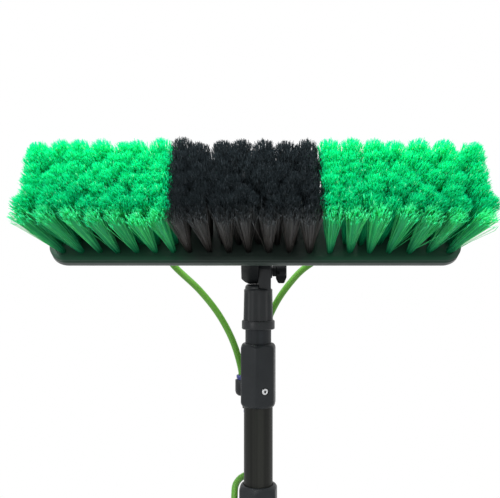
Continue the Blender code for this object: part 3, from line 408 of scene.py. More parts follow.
# Materials
BLOCK_MIDDLE = -0.0078
BLACK_HALF = 0.0560
PAINTED_LIGHT_BORDER = (-0.016, 0.010)
PAINTED_GREEN_LIGHT = (0.018, 0.066, 0.039)
EDGE_RANGE = (0.52, 0.60)
CLOUD = (0.3, 0.75)
EVEN = (0.3, 0.7)
MOULD_GRAIN = 2600.0
MOULD_DEPTH = 0.00004


class Paint:
    """One material and its nodes."""

    def __init__(self, name):
        self.mat = bpy.data.materials.new(name)
        self.mat.use_nodes = True
        self.tree = self.mat.node_tree
        self.shader = self.tree.nodes["Principled BSDF"]
        self.out = self.tree.nodes["Material Output"]

    def node(self, kind, **values):
        made = self.tree.nodes.new(kind)
        for key, value in values.items():
            if hasattr(made, key):
                setattr(made, key, value)
            else:
                made.inputs[key.replace("_", " ")].default_value = value
        return made

    def link(self, a, b):
        self.tree.links.new(a, b)

    def set(self, **values):
        for key, value in values.items():
            self.shader.inputs[key.replace("_", " ")].default_value = value

    def place(self, stretch=(1, 1, 1)):
        mapping = self.node("ShaderNodeMapping", Scale=stretch)
        self.link(self.node("ShaderNodeTexCoord").outputs["Object"], mapping.inputs["Vector"])
        return mapping.outputs["Vector"]

    def noise(self, scale, stretch=(1, 1, 1), detail=3.0, rough=0.55):
        made = self.node("ShaderNodeTexNoise", Scale=scale, Detail=detail, Roughness=rough)
        self.link(self.place(stretch), made.inputs["Vector"])
        return made.outputs["Fac"]

    def ramp(self, value, stops):
        made = self.node("ShaderNodeValToRGB")
        ramp = made.color_ramp
        while len(ramp.elements) < len(stops):
            ramp.elements.new(0.5)
        for element, (at, colour) in zip(ramp.elements, stops):
            element.position = at
            element.color = (*colour, 1)
        self.link(value, made.inputs["Fac"])
        return made.outputs["Color"]

    def cloud(self, value, dark, light):
        return self.ramp(value, list(zip(CLOUD, (dark, light))))

    def span(self, value, low, high, from_low=0.0, from_high=1.0):
        made = self.node("ShaderNodeMapRange", From_Min=from_low, From_Max=from_high, To_Min=low, To_Max=high)
        self.link(value, made.inputs["Value"])
        return made.outputs["Result"]

    def mix(self, factor, a, b, how="MIX"):
        made = self.node("ShaderNodeMix", data_type="RGBA", blend_type=how)
        for value, socket in ((factor, made.inputs[0]), (a, made.inputs[6]), (b, made.inputs[7])):
            if isinstance(value, float):
                socket.default_value = value
            elif isinstance(value, tuple):
                socket.default_value = (*value, 1)
            else:
                self.link(value, socket)
        return made.outputs[2]

    def math(self, operation, *values):
        made = self.node("ShaderNodeMath", operation=operation)
        for value, socket in zip(values, made.inputs):
            if isinstance(value, float):
                socket.default_value = value
            else:
                self.link(value, socket)
        return made.outputs["Value"]

    def bump(self, value, depth):
        made = self.node("ShaderNodeBump", Strength=1.0, Distance=depth)
        self.link(value, made.inputs["Height"])
        self.link(made.outputs["Normal"], self.shader.inputs["Normal"])

    def edges(self):
        made = self.node("ShaderNodeNewGeometry")
        return self.span(made.outputs["Pointiness"], 0.0, 1.0, *EDGE_RANGE)

    def colour(self, value):
        self.link(value, self.shader.inputs["Base Color"])

    def rough(self, value):
        self.link(value, self.shader.inputs["Roughness"])


def moulded(name, dark, light, rough, spec, edge_wear_and_highlight=0.5):
    """Moulded plastic: fine grain, faint clouding and paler sharp edges, partly wear and partly a painted edge
    highlight.
    """
    p = Paint(name)
    # Paler colour on sharp edges: partly wear, partly a painted edge highlight.
    worn_and_lit_edge = tuple(c * 2.4 + 0.012 for c in light)
    p.colour(p.mix(p.span(p.edges(), 0.0, edge_wear_and_highlight), p.cloud(p.noise(60.0), dark, light), worn_and_lit_edge))
    p.rough(p.span(p.noise(140.0), rough - 0.06, rough + 0.08, *EVEN))
    p.set(Specular_IOR_Level=spec)
    p.bump(p.noise(MOULD_GRAIN, detail=2.0), MOULD_DEPTH)
    return p.mat


def block_plastic_painted_light():
    """The block's plastic, with painted green light on the face under the green bristles, standing in for the light
    that comes through them.
    """
    p = Paint("block_plastic_painted_light")
    where = p.node("ShaderNodeTexCoord")
    split = p.node("ShaderNodeSeparateXYZ")
    p.link(where.outputs["Object"], split.inputs["Vector"])
    side = p.math("ABSOLUTE", p.math("SUBTRACT", split.outputs["X"], BLOCK_MIDDLE))
    facing = p.node("ShaderNodeVectorMath", operation="DOT_PRODUCT")
    p.link(where.outputs["Normal"], facing.inputs[0])
    facing.inputs[1].default_value = (0.0, -math.sin(TILT), math.cos(TILT))
    # Painted light: the face turned to the bristles is drawn greener beyond the black bank's half width.
    under_green_banks = p.span(side, 0.0, 1.0, *(BLACK_HALF + by for by in PAINTED_LIGHT_BORDER))
    painted_light_mask = p.math("MULTIPLY", under_green_banks, p.span(facing.outputs["Value"], 0.0, 1.0, 0.8, 0.95))
    tone = p.cloud(p.noise(35.0), (0.019, 0.030, 0.025), (0.026, 0.039, 0.033))
    p.colour(p.mix(painted_light_mask, tone, PAINTED_GREEN_LIGHT))
    p.rough(p.span(p.noise(90.0, detail=5.0), 0.32, 0.44, *EVEN))
    p.set(Specular_IOR_Level=0.26)
    p.bump(p.noise(900.0, detail=2.0), 0.00003)
    return p.mat


def anodised(name, dark, light):
    """Drawn aluminium tube: broad and fine lines along it and rubbed rings."""
    p = Paint(name)
    band = p.noise(240.0, (1, 1, 0.004), 1.5, 0.5)
    streak = p.noise(900.0, (1, 1, 0.012), 4.0, 0.6)
    rub = p.noise(300.0, (0.02, 0.02, 1.0), 3.0, 0.6)
    tone = p.ramp(band, [(0.36, dark), (0.64, light)])
    p.colour(p.mix(p.span(rub, 0.0, 0.2, 0.62, 0.78), tone, tuple(1.6 * c for c in light)))
    p.rough(p.span(streak, 0.38, 0.50, *EVEN))
    p.set(Specular_IOR_Level=0.15)
    p.bump(streak, 0.00002)
    return p.mat


def plain(name, grain, dark, light, gloss=None, bump=None, **values):
    """A plain surface: faint clouding, and where given a roughness that varies and a fine grain."""
    p = Paint(name)
    p.colour(p.cloud(p.noise(grain), dark, light))
    if gloss:
        p.rough(p.span(p.noise(gloss[0]), *gloss[1:]))
    if bump:
        p.bump(p.noise(bump[0], detail=2.0), bump[1])
    p.set(**values)
    return p.mat


def hose_green():
    p = Paint("hose_green")
    fine = p.noise(900.0, detail=2.0)
    tones = [(0.25, (0.078, 0.255, 0.022)), (0.75, (0.118, 0.325, 0.042))]
    tone = p.ramp(p.noise(26.0, detail=2.0), tones)
    p.colour(p.mix(p.span(fine, 0.0, 0.18, 0.4, 0.7), tone, (0.15, 0.38, 0.07)))
    p.rough(p.span(fine, 0.34, 0.46))
    p.set(Specular_IOR_Level=0.24, Subsurface_Weight=0.22, Subsurface_Scale=0.0018)
    p.set(Subsurface_Radius=(0.5, 1.0, 0.3))
    p.bump(fine, 0.00003)
    return p.mat


def strap_weave():
    p = Paint("strap_weave")
    wave = p.node("ShaderNodeTexWave", Scale=420.0, bands_direction="Z")
    p.link(p.place(), wave.inputs["Vector"])
    tone = p.ramp(wave.outputs["Fac"], [(0.2, (0.008, 0.008, 0.009)), (0.8, (0.024, 0.024, 0.026))])
    fluff = p.span(p.noise(900.0, detail=1.0), 0.0, 0.4, 0.45, 0.7)
    p.colour(p.mix(fluff, tone, (0.04, 0.04, 0.042)))
    p.set(Roughness=0.92, Specular_IOR_Level=0.2, Sheen_Weight=0.35)
    p.bump(wave.outputs["Fac"], 0.0004)
    return p.mat


def nylon(name, stops, side, painted_glint, clear, spec):
    """Bristle nylon: colour along the strand, pale strands as a painted sheen, a few ends as painted glints, some
    light through it. The shade attribute scales each strand by random tone and by painted light and shade.
    """
    p = Paint(name)
    keys = ("along", "painted_sheen", "shade")
    along, painted_sheen, painted_shade_and_tone = (p.node("ShaderNodeAttribute", attribute_name=key).outputs["Fac"] for key in keys)
    painted_sheen_share = p.math("MULTIPLY", p.span(painted_sheen, 0.0, 0.75, 0.0, 0.9), p.span(along, 0.12, 1.0, 0.05, 0.40))
    # The pale colour given as side is a painted sheen, mixed in by the sheen share.
    tone = p.mix(painted_sheen_share, p.ramp(along, stops), side)
    grey = p.span(painted_shade_and_tone, 0.50, 1.45)
    dim = p.node("ShaderNodeCombineColor")
    for socket in dim.inputs:
        p.link(grey, socket)
    tone = p.mix(1.0, tone, dim.outputs["Color"], "MULTIPLY")
    # Painted glints where the sheen share is near full.
    tone = p.mix(p.span(painted_sheen, 0.0, 0.8, 0.97, 1.0), tone, painted_glint)
    p.colour(tone)
    p.set(Roughness=0.40, Specular_IOR_Level=spec)
    glow = p.node("ShaderNodeBsdfTranslucent")
    p.link(tone, glow.inputs["Color"])
    blend = p.node("ShaderNodeMixShader")
    blend.inputs[0].default_value = clear
    p.link(p.shader.outputs["BSDF"], blend.inputs[1])
    p.link(glow.outputs["BSDF"], blend.inputs[2])
    p.link(blend.outputs["Shader"], p.out.inputs["Surface"])
    return p.mat


# Nylon colour from root to tip: dark at the root as painted shade deep in the bristles, lighter toward the tip as
# painted light; the black strands grow lighter and bluer toward the tip.
GREEN_ROOT_SHADE_STOPS = (
    (0.0, (0.0010, 0.20, 0.085)),
    (0.35, (0.0010, 0.50, 0.205)),
    (0.86, (0.0010, 0.62, 0.268)),
    (1.0, (0.0014, 0.66, 0.295)),
)
BLACK_ROOT_SHADE_STOPS = (
    (0.0, (0.003, 0.003, 0.003)),
    (0.4, (0.011, 0.010, 0.009)),
    (0.8, (0.021, 0.028, 0.031)),
    (1.0, (0.048, 0.065, 0.073)),
)
M = {
    "collar": moulded("collar_plastic", (0.0098, 0.0122, 0.0142), (0.0138, 0.0166, 0.0190), 0.44, 0.24, 0.0),
    "knuckle": moulded(
        "knuckle_plastic", (0.0086, 0.0104, 0.0118), (0.0132, 0.0154, 0.0170), 0.38, 0.26, 0.12
    ),
    # A darker plastic for the bracket and wing nut: painted shade, as they sit in the shadow of the block.
    "bracket": moulded(
        "bracket_plastic_painted_shade", (0.0034, 0.0044, 0.0050), (0.0052, 0.0066, 0.0074), 0.56, 0.12, 0.05
    ),
    "grey": moulded("grey_plastic", (0.030, 0.032, 0.034), (0.040, 0.042, 0.045), 0.50, 0.4),
    "nozzle": moulded("stem_plastic", (0.040, 0.040, 0.042), (0.055, 0.055, 0.058), 0.42, 0.4),
    "block": block_plastic_painted_light(),
    "tube": anodised("anodised_tube", (0.0068, 0.0074, 0.0062), (0.0190, 0.0200, 0.0172)),
    "tube_top": anodised("anodised_top", (0.0120, 0.0140, 0.0160), (0.0190, 0.0225, 0.0260)),
    "steel": plain(
        "steel", 1400.0, (0.50, 0.51, 0.52), (0.72, 0.73, 0.74), (1400.0, 0.18, 0.36, *EVEN), Metallic=1.0
    ),
    "dark_steel": plain(
        "dark_steel", 1800.0, (0.020, 0.021, 0.022), (0.05, 0.05, 0.052), Metallic=0.7, Roughness=0.5
    ),
    "brass": plain(
        "brass", 700.0, (0.50, 0.34, 0.13), (0.66, 0.48, 0.22), (1200.0, 0.22, 0.38), Metallic=1.0
    ),
    "rubber": plain(
        "rubber", 180.0, (0.010, 0.010, 0.010), (0.020, 0.020, 0.020),
        (400.0, 0.68, 0.86), (3200.0, 0.00008), Specular_IOR_Level=0.3,
    ),
    "blue": plain("blue_plastic", 500.0, (0.020, 0.030, 0.17), (0.035, 0.05, 0.24), (900.0, 0.22, 0.32)),
    "hose": hose_green(),
    "strap": strap_weave(),
    # Nylon: root to tip stops, the painted sheen colour, the painted glint colour, the share of light through, and
    # specular.
    "green_bristle": nylon("green_bristle", GREEN_ROOT_SHADE_STOPS, (0.200, 0.92, 0.42), (0.30, 0.95, 0.64), 0.58, 0.12),
    "black_bristle": nylon(
        "black_bristle", BLACK_ROOT_SHADE_STOPS, (0.042, 0.036, 0.031), (0.16, 0.19, 0.21), 0.06, 0.30
    ),
}

# Pole: tubes, collars, rivets, end cap and grip
TUBE_WALL = 0.0010
TUBE_R = {"top": 0.0114, "middle": 0.0127, "base": 0.0140}
TUBE_SPAN = {"top": (0.1283, 0.9760), "middle": (0.0663, 0.9313), "base": (0.0043, 0.8075)}
TUBE_EDGE = 0.0003
SLIDE_GAP = 0.0003
COLLAR_TURN = math.radians(-97.5)
COLLAR_SIDES = 120
COLLAR_TOP = {"middle": 0.9366, "base": 0.8128}
COLLAR_INNER = {"middle": "top", "base": "middle"}
COLLAR_WALL = 0.0018
COLLAR_HEIGHT = 0.0555
COLLAR_LIP = 0.0050
COLLAR_LIP_EDGE = 0.0003
COLLAR_CORNER_R = 0.0034
COLLAR_CROWN_IN = 0.00135
COLLAR_CROWN_DROP = 0.00105
COLLAR_CROWN = (
    (-0.30, 0.0), (0.0, 0.04), (0.30, 0.16), (0.60, 0.38), (0.84, 0.66), (0.96, 0.88), (1.0, 1.10),
)
RIVET_DROP = 0.0404
RIVET_R = 0.0029
RIVET_H = 0.0011
RIVET_DOME = ((1.0, 0.0), (0.97, 0.45), (0.84, 0.80), (0.64, 1.0))
RIVET_HOLE_R = 0.0011
RIVET_HOLE_EDGE = ((1.15, 0.92), (1.0, 0.7))
RIVET_PIN = ((0.98, 0.0), (0.98, 0.42), (0.4, 0.5))
RIVET_RECESS_R = 0.0036
RIVET_RECESS = 0.0005
CUT_PAST = 0.004
CAP_R = 0.01615
CAP_HOLE_R = 0.0105
CAP_HEIGHT = 0.0300
CAP_FLOOR = 0.0040
CAP_FOOT_EDGE = ((0.0018, 0.0), (0.0006, 0.0006), (0.0, 0.0019))
CAP_TOP_EDGE = ((0.0, 0.0010), (0.0004, 0.0002), (0.0010, 0.0))
CAP_GROOVES = (0.42, 0.56, 0.70)
CAP_GROOVE = ((0.0, -0.0012), (0.0005, -0.0006), (0.0005, 0.0006), (0.0, 0.0012))
GRIP_LOW = 0.0330
GRIP_LENGTH = 0.2300
GRIP_WALL = 0.0040
GRIP_DIP = GRIP_WALL * 0.25
GRIP_EDGE = GRIP_DIP * 0.3
GRIP_GROOVES = 4
GRIP_PITCH = GRIP_LENGTH / (GRIP_GROOVES + 1)
GRIP_SHOULDER = 0.16 * GRIP_PITCH
GRIP_GROOVE = (0.08 * GRIP_PITCH, 0.24 * GRIP_PITCH)
GRIP_RIBS = 7
GRIP_RIB_DEPTH = 0.0005
GRIP_RIB = ((0.0, 0.0), (0.0, 0.62), (GRIP_RIB_DEPTH, 0.74), (GRIP_RIB_DEPTH, 0.88))


def hex_radius(angle, flat_r):
    """Radius of a hexagon with round corners, in one direction."""
    part = abs((angle - COLLAR_TURN) % (math.pi / 3) - math.pi / 6)
    centre = (flat_r - COLLAR_CORNER_R) / math.cos(math.pi / 6)
    tangent = math.atan((flat_r - COLLAR_CORNER_R) * math.tan(math.pi / 6) / flat_r)
    if part <= tangent:
        return flat_r / math.cos(part)
    off = math.pi / 6 - part
    return centre * math.cos(off) + math.sqrt(COLLAR_CORNER_R**2 - (centre * math.sin(off)) ** 2)


def hex_collar(bore_r, lip_r, flat_r, top):
    turn = [COLLAR_TURN + 2 * math.pi * i / COLLAR_SIDES for i in range(COLLAR_SIDES)]
    outer = [hex_radius(a, flat_r) for a in turn]
    crown = flat_r - COLLAR_CROWN_IN

    def ring(radii, drops):
        return [(r * math.cos(a), r * math.sin(a), top - d) for a, r, d in zip(turn, radii, drops)]

    def plain(r, d):
        return ring([r] * len(turn), [d] * len(turn))

    rings = [plain(lip_r, COLLAR_LIP), plain(lip_r, COLLAR_LIP_EDGE), plain(lip_r + COLLAR_LIP_EDGE, 0.0)]
    ends = []
    for share, fall in COLLAR_CROWN:
        radii = [crown + share * (r - crown) for r in outer]
        drops = [fall * (r - crown + COLLAR_CROWN_DROP) for r in outer]
        rings.append(ring(radii, drops))
        ends.append(ring(radii, [COLLAR_HEIGHT - d for d in drops]))
    rings += ends[::-1]
    rings += [plain(bore_r, COLLAR_HEIGHT), plain(bore_r, COLLAR_LIP)]
    return loft(rings, closed=True)


def pole_tube(tag, body, look):
    r = TUBE_R[tag]
    low, high = TUBE_SPAN[tag]
    inner = r - TUBE_WALL
    profile = [(inner, low), (r - TUBE_EDGE, low), (r, low + TUBE_EDGE), (r, high - TUBE_EDGE)]
    profile += [(r - TUBE_EDGE, high), (inner, high)]
    piece("pole_tube_" + tag, [turned(profile, 96, True)], M[look], body, ["tube_" + tag], "black_aluminium")


def pole_collar(tag, body):
    r = TUBE_R[tag]
    flat = r + FIT_GAP + COLLAR_WALL
    lip = TUBE_R[COLLAR_INNER[tag]] + SLIDE_GAP
    top = COLLAR_TOP[tag]
    bearing = COLLAR_TURN + math.pi / 6
    z = top - RIVET_DROP
    shape = hex_collar(r + FIT_GAP, lip, flat, top)
    made = piece("pole_collar_" + tag, [shape], M["collar"], body, ["collar_" + tag], "black_plastic", 40)
    seat = flat - RIVET_RECESS
    recess = turned([(RIVET_RECESS_R, seat), (RIVET_RECESS_R, seat + CUT_PAST)], 40)
    cut_out(made, radial(recess, bearing, z), 40)
    base = seat + FIT_GAP
    dome = [(RIVET_HOLE_R, base)]
    dome += [(RIVET_R * wide, base + RIVET_H * high) for wide, high in RIVET_DOME]
    dome += [(RIVET_HOLE_R * wide, base + RIVET_H * high) for wide, high in RIVET_HOLE_EDGE]
    ring = radial(turned(dome, 40, True), bearing, z)
    piece("rivet_head_" + tag, [ring], M["steel"], body, ["rivet_" + tag], "steel", 50)
    pin = [(RIVET_HOLE_R * wide, base + RIVET_H * high) for wide, high in RIVET_PIN]
    piece("rivet_pin_" + tag, [radial(turned(pin, 24), bearing, z)], M["dark_steel"], body, slot="steel")


def end_cap():
    bore = TUBE_R["base"] + FIT_GAP
    cup = [(CAP_HOLE_R, 0.0)] + [(CAP_R - by, z) for by, z in CAP_FOOT_EDGE]
    for share in CAP_GROOVES:
        cup += [(CAP_R - by, CAP_HEIGHT * share + dz) for by, dz in CAP_GROOVE]
    cup += [(CAP_R - by, CAP_HEIGHT - drop) for by, drop in CAP_TOP_EDGE]
    cup += [(bore, CAP_HEIGHT), (bore, CAP_FLOOR), (CAP_HOLE_R, CAP_FLOOR)]
    piece("butt_cap", [turned(cup, 72)], M["rubber"], "base_section", ["end_cap"], "rubber")


def grip():
    inner = TUBE_R["base"] + FIT_GAP
    outer = inner + GRIP_WALL
    waist = outer - GRIP_DIP
    outline = [(inner, GRIP_LOW), (waist, GRIP_LOW), (outer - GRIP_EDGE, GRIP_LOW + GRIP_EDGE)]
    for zone in range(GRIP_GROOVES + 1):
        low = GRIP_LOW + zone * GRIP_PITCH + (GRIP_SHOULDER if zone else GRIP_DIP)
        high = GRIP_LOW + (zone + 1) * GRIP_PITCH - (GRIP_SHOULDER if zone < GRIP_GROOVES else GRIP_DIP)
        step = (high - low) / GRIP_RIBS
        for k in range(GRIP_RIBS):
            outline += [(outer - by, low + k * step + step * share) for by, share in GRIP_RIB]
        outline.append((outer, high))
        if zone < GRIP_GROOVES:
            outline += [(waist, high + dz) for dz in GRIP_GROOVE]
    end = GRIP_LOW + GRIP_LENGTH
    outline += [(outer - GRIP_EDGE, end - GRIP_EDGE), (waist, end), (inner, end)]
    piece("rubber_grip", [turned(outline, 48, True)], M["rubber"], "base_section", ["grip"], "rubber")


pole_tube("top", "top_section", "tube_top")
pole_tube("middle", "middle_section", "tube")
pole_tube("base", "base_section", "tube")
pole_collar("middle", "middle_section")
pole_collar("base", "base_section")
end_cap()
grip()

# Knuckle: fluted socket with its tongue, ear and plate, bolt and wing nut
FLUTES = 8
FLUTE_SIDES = 14
FLUTE_TURN = math.radians(4.0)
FLUTE_DEPTH = 0.0009
FLUTE_CUTS = (0.0, 0.25, 0.5, 0.75, 0.86, 0.92)
FLUTE_END = 0.96
FLUTE_FADE = 0.08
SHOULDER_Z = PIVOT_Z - 0.0154
SHOULDER_EDGE = ((0.0001, 0.0014), (0.0004, 0.0006), (0.0013, 0.0))
SOCKET_TOP_R = 0.01270
SOCKET_LOW_R = 0.01335
RING_R = 0.01450
RING_TOP_Z = PIVOT_Z - 0.0432
RING_LOW_Z = PIVOT_Z - 0.0509
RING_EDGE = 0.0006
STEP_PROFILE = (
    (0.0116, -0.0010), (0.0116, 0.0010), (0.0113, 0.0022), (0.0105, 0.0030),
    (0.0094, 0.0033), (0.0060, 0.0035), (0.0015, 0.0037),
)
STEP_RISE = 55.0
LUG_R = 0.0125
LUG_FOOT = SOCKET_TOP_R * 0.72
LUG_SINK = 0.002
TONGUE_IN = -0.0001
TONGUE_OUT = 0.0109
TONGUE_EDGE = 0.0009
SCREW_HEAD_R = 0.0026
SCREW_HEAD_H = 0.0014
SCREW_DOME = ((1.0, 0.6), (0.85, 0.9), (0.6, 1.0))
SCREW_SINK = 0.001
SCREW_HEX_R = 0.0009
SCREW_HEX_EDGE = 0.0002
EAR_R = 0.0113
EAR_OUT = 0.0149
EAR_IN = 0.0002
EAR_EDGE = 0.0006
EAR_DOME = 0.0080
EAR_DOME_FALL = 0.40
EAR_DOME_RINGS = 8
EAR_ARC = (math.pi + 0.04, 2 * math.pi + 0.46)
EAR_ARC_STEPS = 32
ARM_NEAR_E = -EAR_R * 0.92
ARM_SHRINK = 0.012
ARM_SINK = 0.001
BLOCK_X = -0.002
BLOCK_E = 0.0115
FACE_S = 0.056
BLOCK_THICK = 0.016
BACK_S = FACE_S - BLOCK_THICK
PLATE_T = 0.0036
PLATE_OUT = BACK_S - SEAT_GAP
PLATE_IN = PLATE_OUT - PLATE_T
PLATE_X = 0.0250
PLATE_E = 0.0170
PLATE_CORNER_R = 0.005
PLATE_EDGE = 0.0007
ARM_FAR_E = BLOCK_E + PLATE_E * 0.66
WEB_E = BLOCK_E + 0.003
WEB_HALF = 0.0012
WEB_EDGE = 0.0003
WEB_SINK = 0.0005
WEB_RUN = 0.016
WEB_DROP = 0.006
PLATE_SCREW_X = 0.0196
PLATE_SHANK_R = 0.0019
PLATE_SCREW = (
    (PLATE_SHANK_R, 0.0), (0.0037, 0.0), (0.0036, 0.0009), (0.0030, 0.0017),
    (0.0020, 0.0022), (0.0012, 0.0022), (0.0010, 0.0010),
)
BOLT_R = 0.0030
BOLT_HEAD_R = 0.0050
BOLT_HEAD_H = 0.0040
BOLT_CORNER_R = 0.0006
BOLT_EDGE = 0.0005
BOLT_TIP = 0.0008
BOLT_SHORT = 0.0032
BOLT_HEAD_X = -EAR_OUT + SEAT_GAP
BOLT_SEAT_X = BOLT_HEAD_X + BOLT_HEAD_H
WASHER_R = 0.0062
WASHER_T = 0.0010
WASHER_EDGE = 0.0002
WASHER_X = TONGUE_OUT + SEAT_GAP
HUB_R = 0.0056
HUB_L = 0.0030
HUB_X = WASHER_X + WASHER_T + SEAT_GAP
WING_X = HUB_X + HUB_L
WING_L = 0.0094
WING_END_X = WING_X + WING_L
WING_REACH = 0.0108
WING_T = 0.0046
WING_CORNER_R = 0.0016
WING_EDGE = 0.0012
HUB_PROFILE = (
    (0.80, 0.0), (0.86, 0.0004), (0.86, HUB_L), (1.0, HUB_L + 0.0006),
    (1.0, HUB_L + WING_L - 0.0022), (0.92, HUB_L + WING_L - 0.0012), (0.7, HUB_L + WING_L - 0.0004),
)
WING_OUTLINE = ((0.0, 0.62), (0.0020, 1.0), (WING_L - 0.0022, 1.0), (WING_L, 0.52))
WINDOW_X = 0.0172
WINDOW_Z = PIVOT_Z - 0.0012
WINDOW_HALF = 0.0013
WINDOW_Y = (-0.008, -0.0032)


def lug_outline(radius, wide, low, steps=32):
    """Round end about the pivot with straight sides down to a foot, across the pole and up."""
    points = [(-wide, low), (wide, low)]
    lean = math.atan2(wide - radius, -low)
    for i in range(steps + 1):
        a = -lean * 0.5 + (math.pi + lean) * i / steps
        points.append((radius * math.cos(a), radius * math.sin(a)))
    return points


def fluted(radius, z, depth=0.0):
    """A ring of the socket, scooped out at its flutes."""
    sides = FLUTES * FLUTE_SIDES
    ring = []
    for i in range(sides):
        a = 2 * math.pi * i / sides
        wave = 0.5 + 0.5 * math.cos(FLUTES * (a + FLUTE_TURN))
        r = radius - depth * wave**2
        ring.append((r * math.cos(a), r * math.sin(a), z))
    return ring


def socket():
    bore = TUBE_R["top"] + FIT_GAP
    edge = RING_EDGE
    skirt = (
        (bore, TUBE_SPAN["top"][1] + edge), (bore, RING_LOW_Z),
        (RING_R - edge, RING_LOW_Z), (RING_R, RING_LOW_Z + edge), (RING_R, RING_TOP_Z - edge * 1.4),
        (RING_R - edge * 0.5, RING_TOP_Z - edge * 0.4), (RING_R - edge * 1.4, RING_TOP_Z),
    )
    rings = [fluted(r, z) for r, z in skirt]
    for f in FLUTE_CUTS:
        z = RING_TOP_Z + (SHOULDER_Z - RING_TOP_Z) * f
        r = SOCKET_LOW_R + (SOCKET_TOP_R - SOCKET_LOW_R) * f
        rings.append(fluted(r, z, FLUTE_DEPTH * min(1.0, (FLUTE_END - f) / FLUTE_FADE)))
    rings += [fluted(SOCKET_TOP_R - by, SHOULDER_Z - drop) for by, drop in SHOULDER_EDGE]
    outline = lug_outline(LUG_R, LUG_FOOT, SHOULDER_Z - PIVOT_Z - LUG_SINK)
    tongue = slab(outline, TONGUE_IN, TONGUE_OUT, TONGUE_EDGE, lambda y, z, x: (x, y, PIVOT_Z + z))
    step = []
    for r, lift in STEP_PROFILE:
        ring = fluted(r, SHOULDER_Z)
        step.append([(min(x, TONGUE_IN), y, z + lift * (1 + STEP_RISE * max(0.0, y))) for x, y, z in ring])
    shapes = [loft(rings), tongue, loft(step)]
    made = piece("pole_socket", shapes, M["knuckle"], "top_section", ["adaptor_socket"], "black_plastic", 40)
    eye_r = BOLT_R + HOLE_GAP
    eye = along_x([(eye_r, TONGUE_IN - CUT_PAST), (eye_r, TONGUE_OUT + CUT_PAST)], 40)
    cut_out(made, shifted(eye, 0, 0, PIVOT_Z), 40)


def set_screw():
    base = RING_R - SCREW_HEAD_H + FIT_GAP
    top = base + SCREW_HEAD_H
    dome = [(SCREW_HEX_R, base - SCREW_SINK), (SCREW_HEAD_R, base - SCREW_SINK)]
    dome += [(SCREW_HEAD_R * wide, base + SCREW_HEAD_H * high) for wide, high in SCREW_DOME]
    dome += [(SCREW_HEX_R + SCREW_HEX_EDGE, top), (SCREW_HEX_R, base + SCREW_HEAD_H * 0.9)]
    dome += [(SCREW_HEX_R, base + SCREW_HEX_EDGE)]
    shape = radial(turned(dome, 32), math.pi / 2, (RING_TOP_Z + RING_LOW_Z) / 2)
    piece("socket_bolt", [shape], M["steel"], "top_section", ["socket_screw"], "steel", 40)


def arm_ring(x, radius, shrink):
    """The outline of the bracket's arm: round about the pivot, straight to the plate."""
    foot = PLATE_IN + ARM_SINK
    points = [(x, ARM_FAR_E - shrink, foot), (x, ARM_NEAR_E + shrink * 0.5, foot)]
    for a in np.linspace(*EAR_ARC, EAR_ARC_STEPS + 1):
        points.append((x, radius * math.cos(a), radius * math.sin(a)))
    return points


def bracket():
    rings = [arm_ring(-EAR_IN, EAR_R - EAR_EDGE, EAR_EDGE), arm_ring(-EAR_IN - EAR_EDGE, EAR_R, 0.0)]
    for k in range(EAR_DOME_RINGS + 1):
        f = k / EAR_DOME_RINGS
        fall = EAR_DOME_FALL * f**2
        rings.append(arm_ring(-EAR_OUT + EAR_DOME * (1 - f), EAR_R * (1 - fall), fall * ARM_SHRINK))
    around = [(x, e + BLOCK_E) for x, e in rounded_box(PLATE_X, PLATE_E, PLATE_CORNER_R)]
    shapes = [in_head(loft(rings)), slab(around, PLATE_IN, PLATE_OUT, PLATE_EDGE, head)]

    def upright(x, s, e):
        return head(x, e, s)

    for side in (-1, 1):
        near = side * WEB_SINK
        foot = PLATE_IN + WEB_SINK
        web = [(near, foot), (near, PLATE_IN - WEB_DROP), (near + side * WEB_RUN, foot)]
        shapes.append(slab(web, WEB_E - WEB_HALF, WEB_E + WEB_HALF, WEB_EDGE, upright, 2))
    made = piece("tilt_bracket", shapes, M["bracket"], "brush_head", ["adaptor_upper"], "black_plastic", 36)
    well = BOLT_HEAD_R + HOLE_GAP
    floor_x = BOLT_SEAT_X + SEAT_GAP
    cut_out(made, in_head(along_x([(well, -EAR_OUT - CUT_PAST), (well, floor_x)], 40)), 36)
    seat = PLATE_IN - FIT_GAP
    screw = [(PLATE_SHANK_R, PLATE_OUT)] + [(r, seat - by) for r, by in PLATE_SCREW]
    for side, tag in ((-1, "left"), (1, "right")):
        shape = in_head(shifted(turned(screw, 32), side * PLATE_SCREW_X, BLOCK_E))
        piece("plate_screw_" + tag, [shape], M["steel"], "brush_head", ["bracket_screw_" + tag], "steel", 40)


def pivot_bolt():
    six = [(e, s) for e, s, _ in circle(BOLT_HEAD_R, 0.0, 6)]
    outline = fillet(six, BOLT_CORNER_R, 3)
    cap = slab(outline, BOLT_HEAD_X, BOLT_SEAT_X, BOLT_EDGE, lambda e, s, x: head(x, e, s), 3)
    end = WING_END_X - BOLT_SHORT
    shank = [(BOLT_R, BOLT_SEAT_X - BOLT_EDGE), (BOLT_R, end - BOLT_TIP), (BOLT_R * 0.75, end)]
    shapes = [cap, in_head(along_x(shank, 32))]
    piece("tilt_bolt", shapes, M["dark_steel"], "brush_head", ["pivot_bolt"], "steel", 40)


def washer():
    eye = BOLT_R + HOLE_GAP
    rim = WASHER_R - WASHER_EDGE
    end = WASHER_X + WASHER_T
    disc = [(eye, WASHER_X), (rim, WASHER_X), (WASHER_R, WASHER_X + WASHER_EDGE)]
    disc += [(WASHER_R, end - WASHER_EDGE), (rim, end), (eye, end)]
    shape = in_head(along_x(disc, 48, True))
    piece("tilt_washer", [shape], M["knuckle"], "brush_head", ["pivot_washer"], "steel", 40)


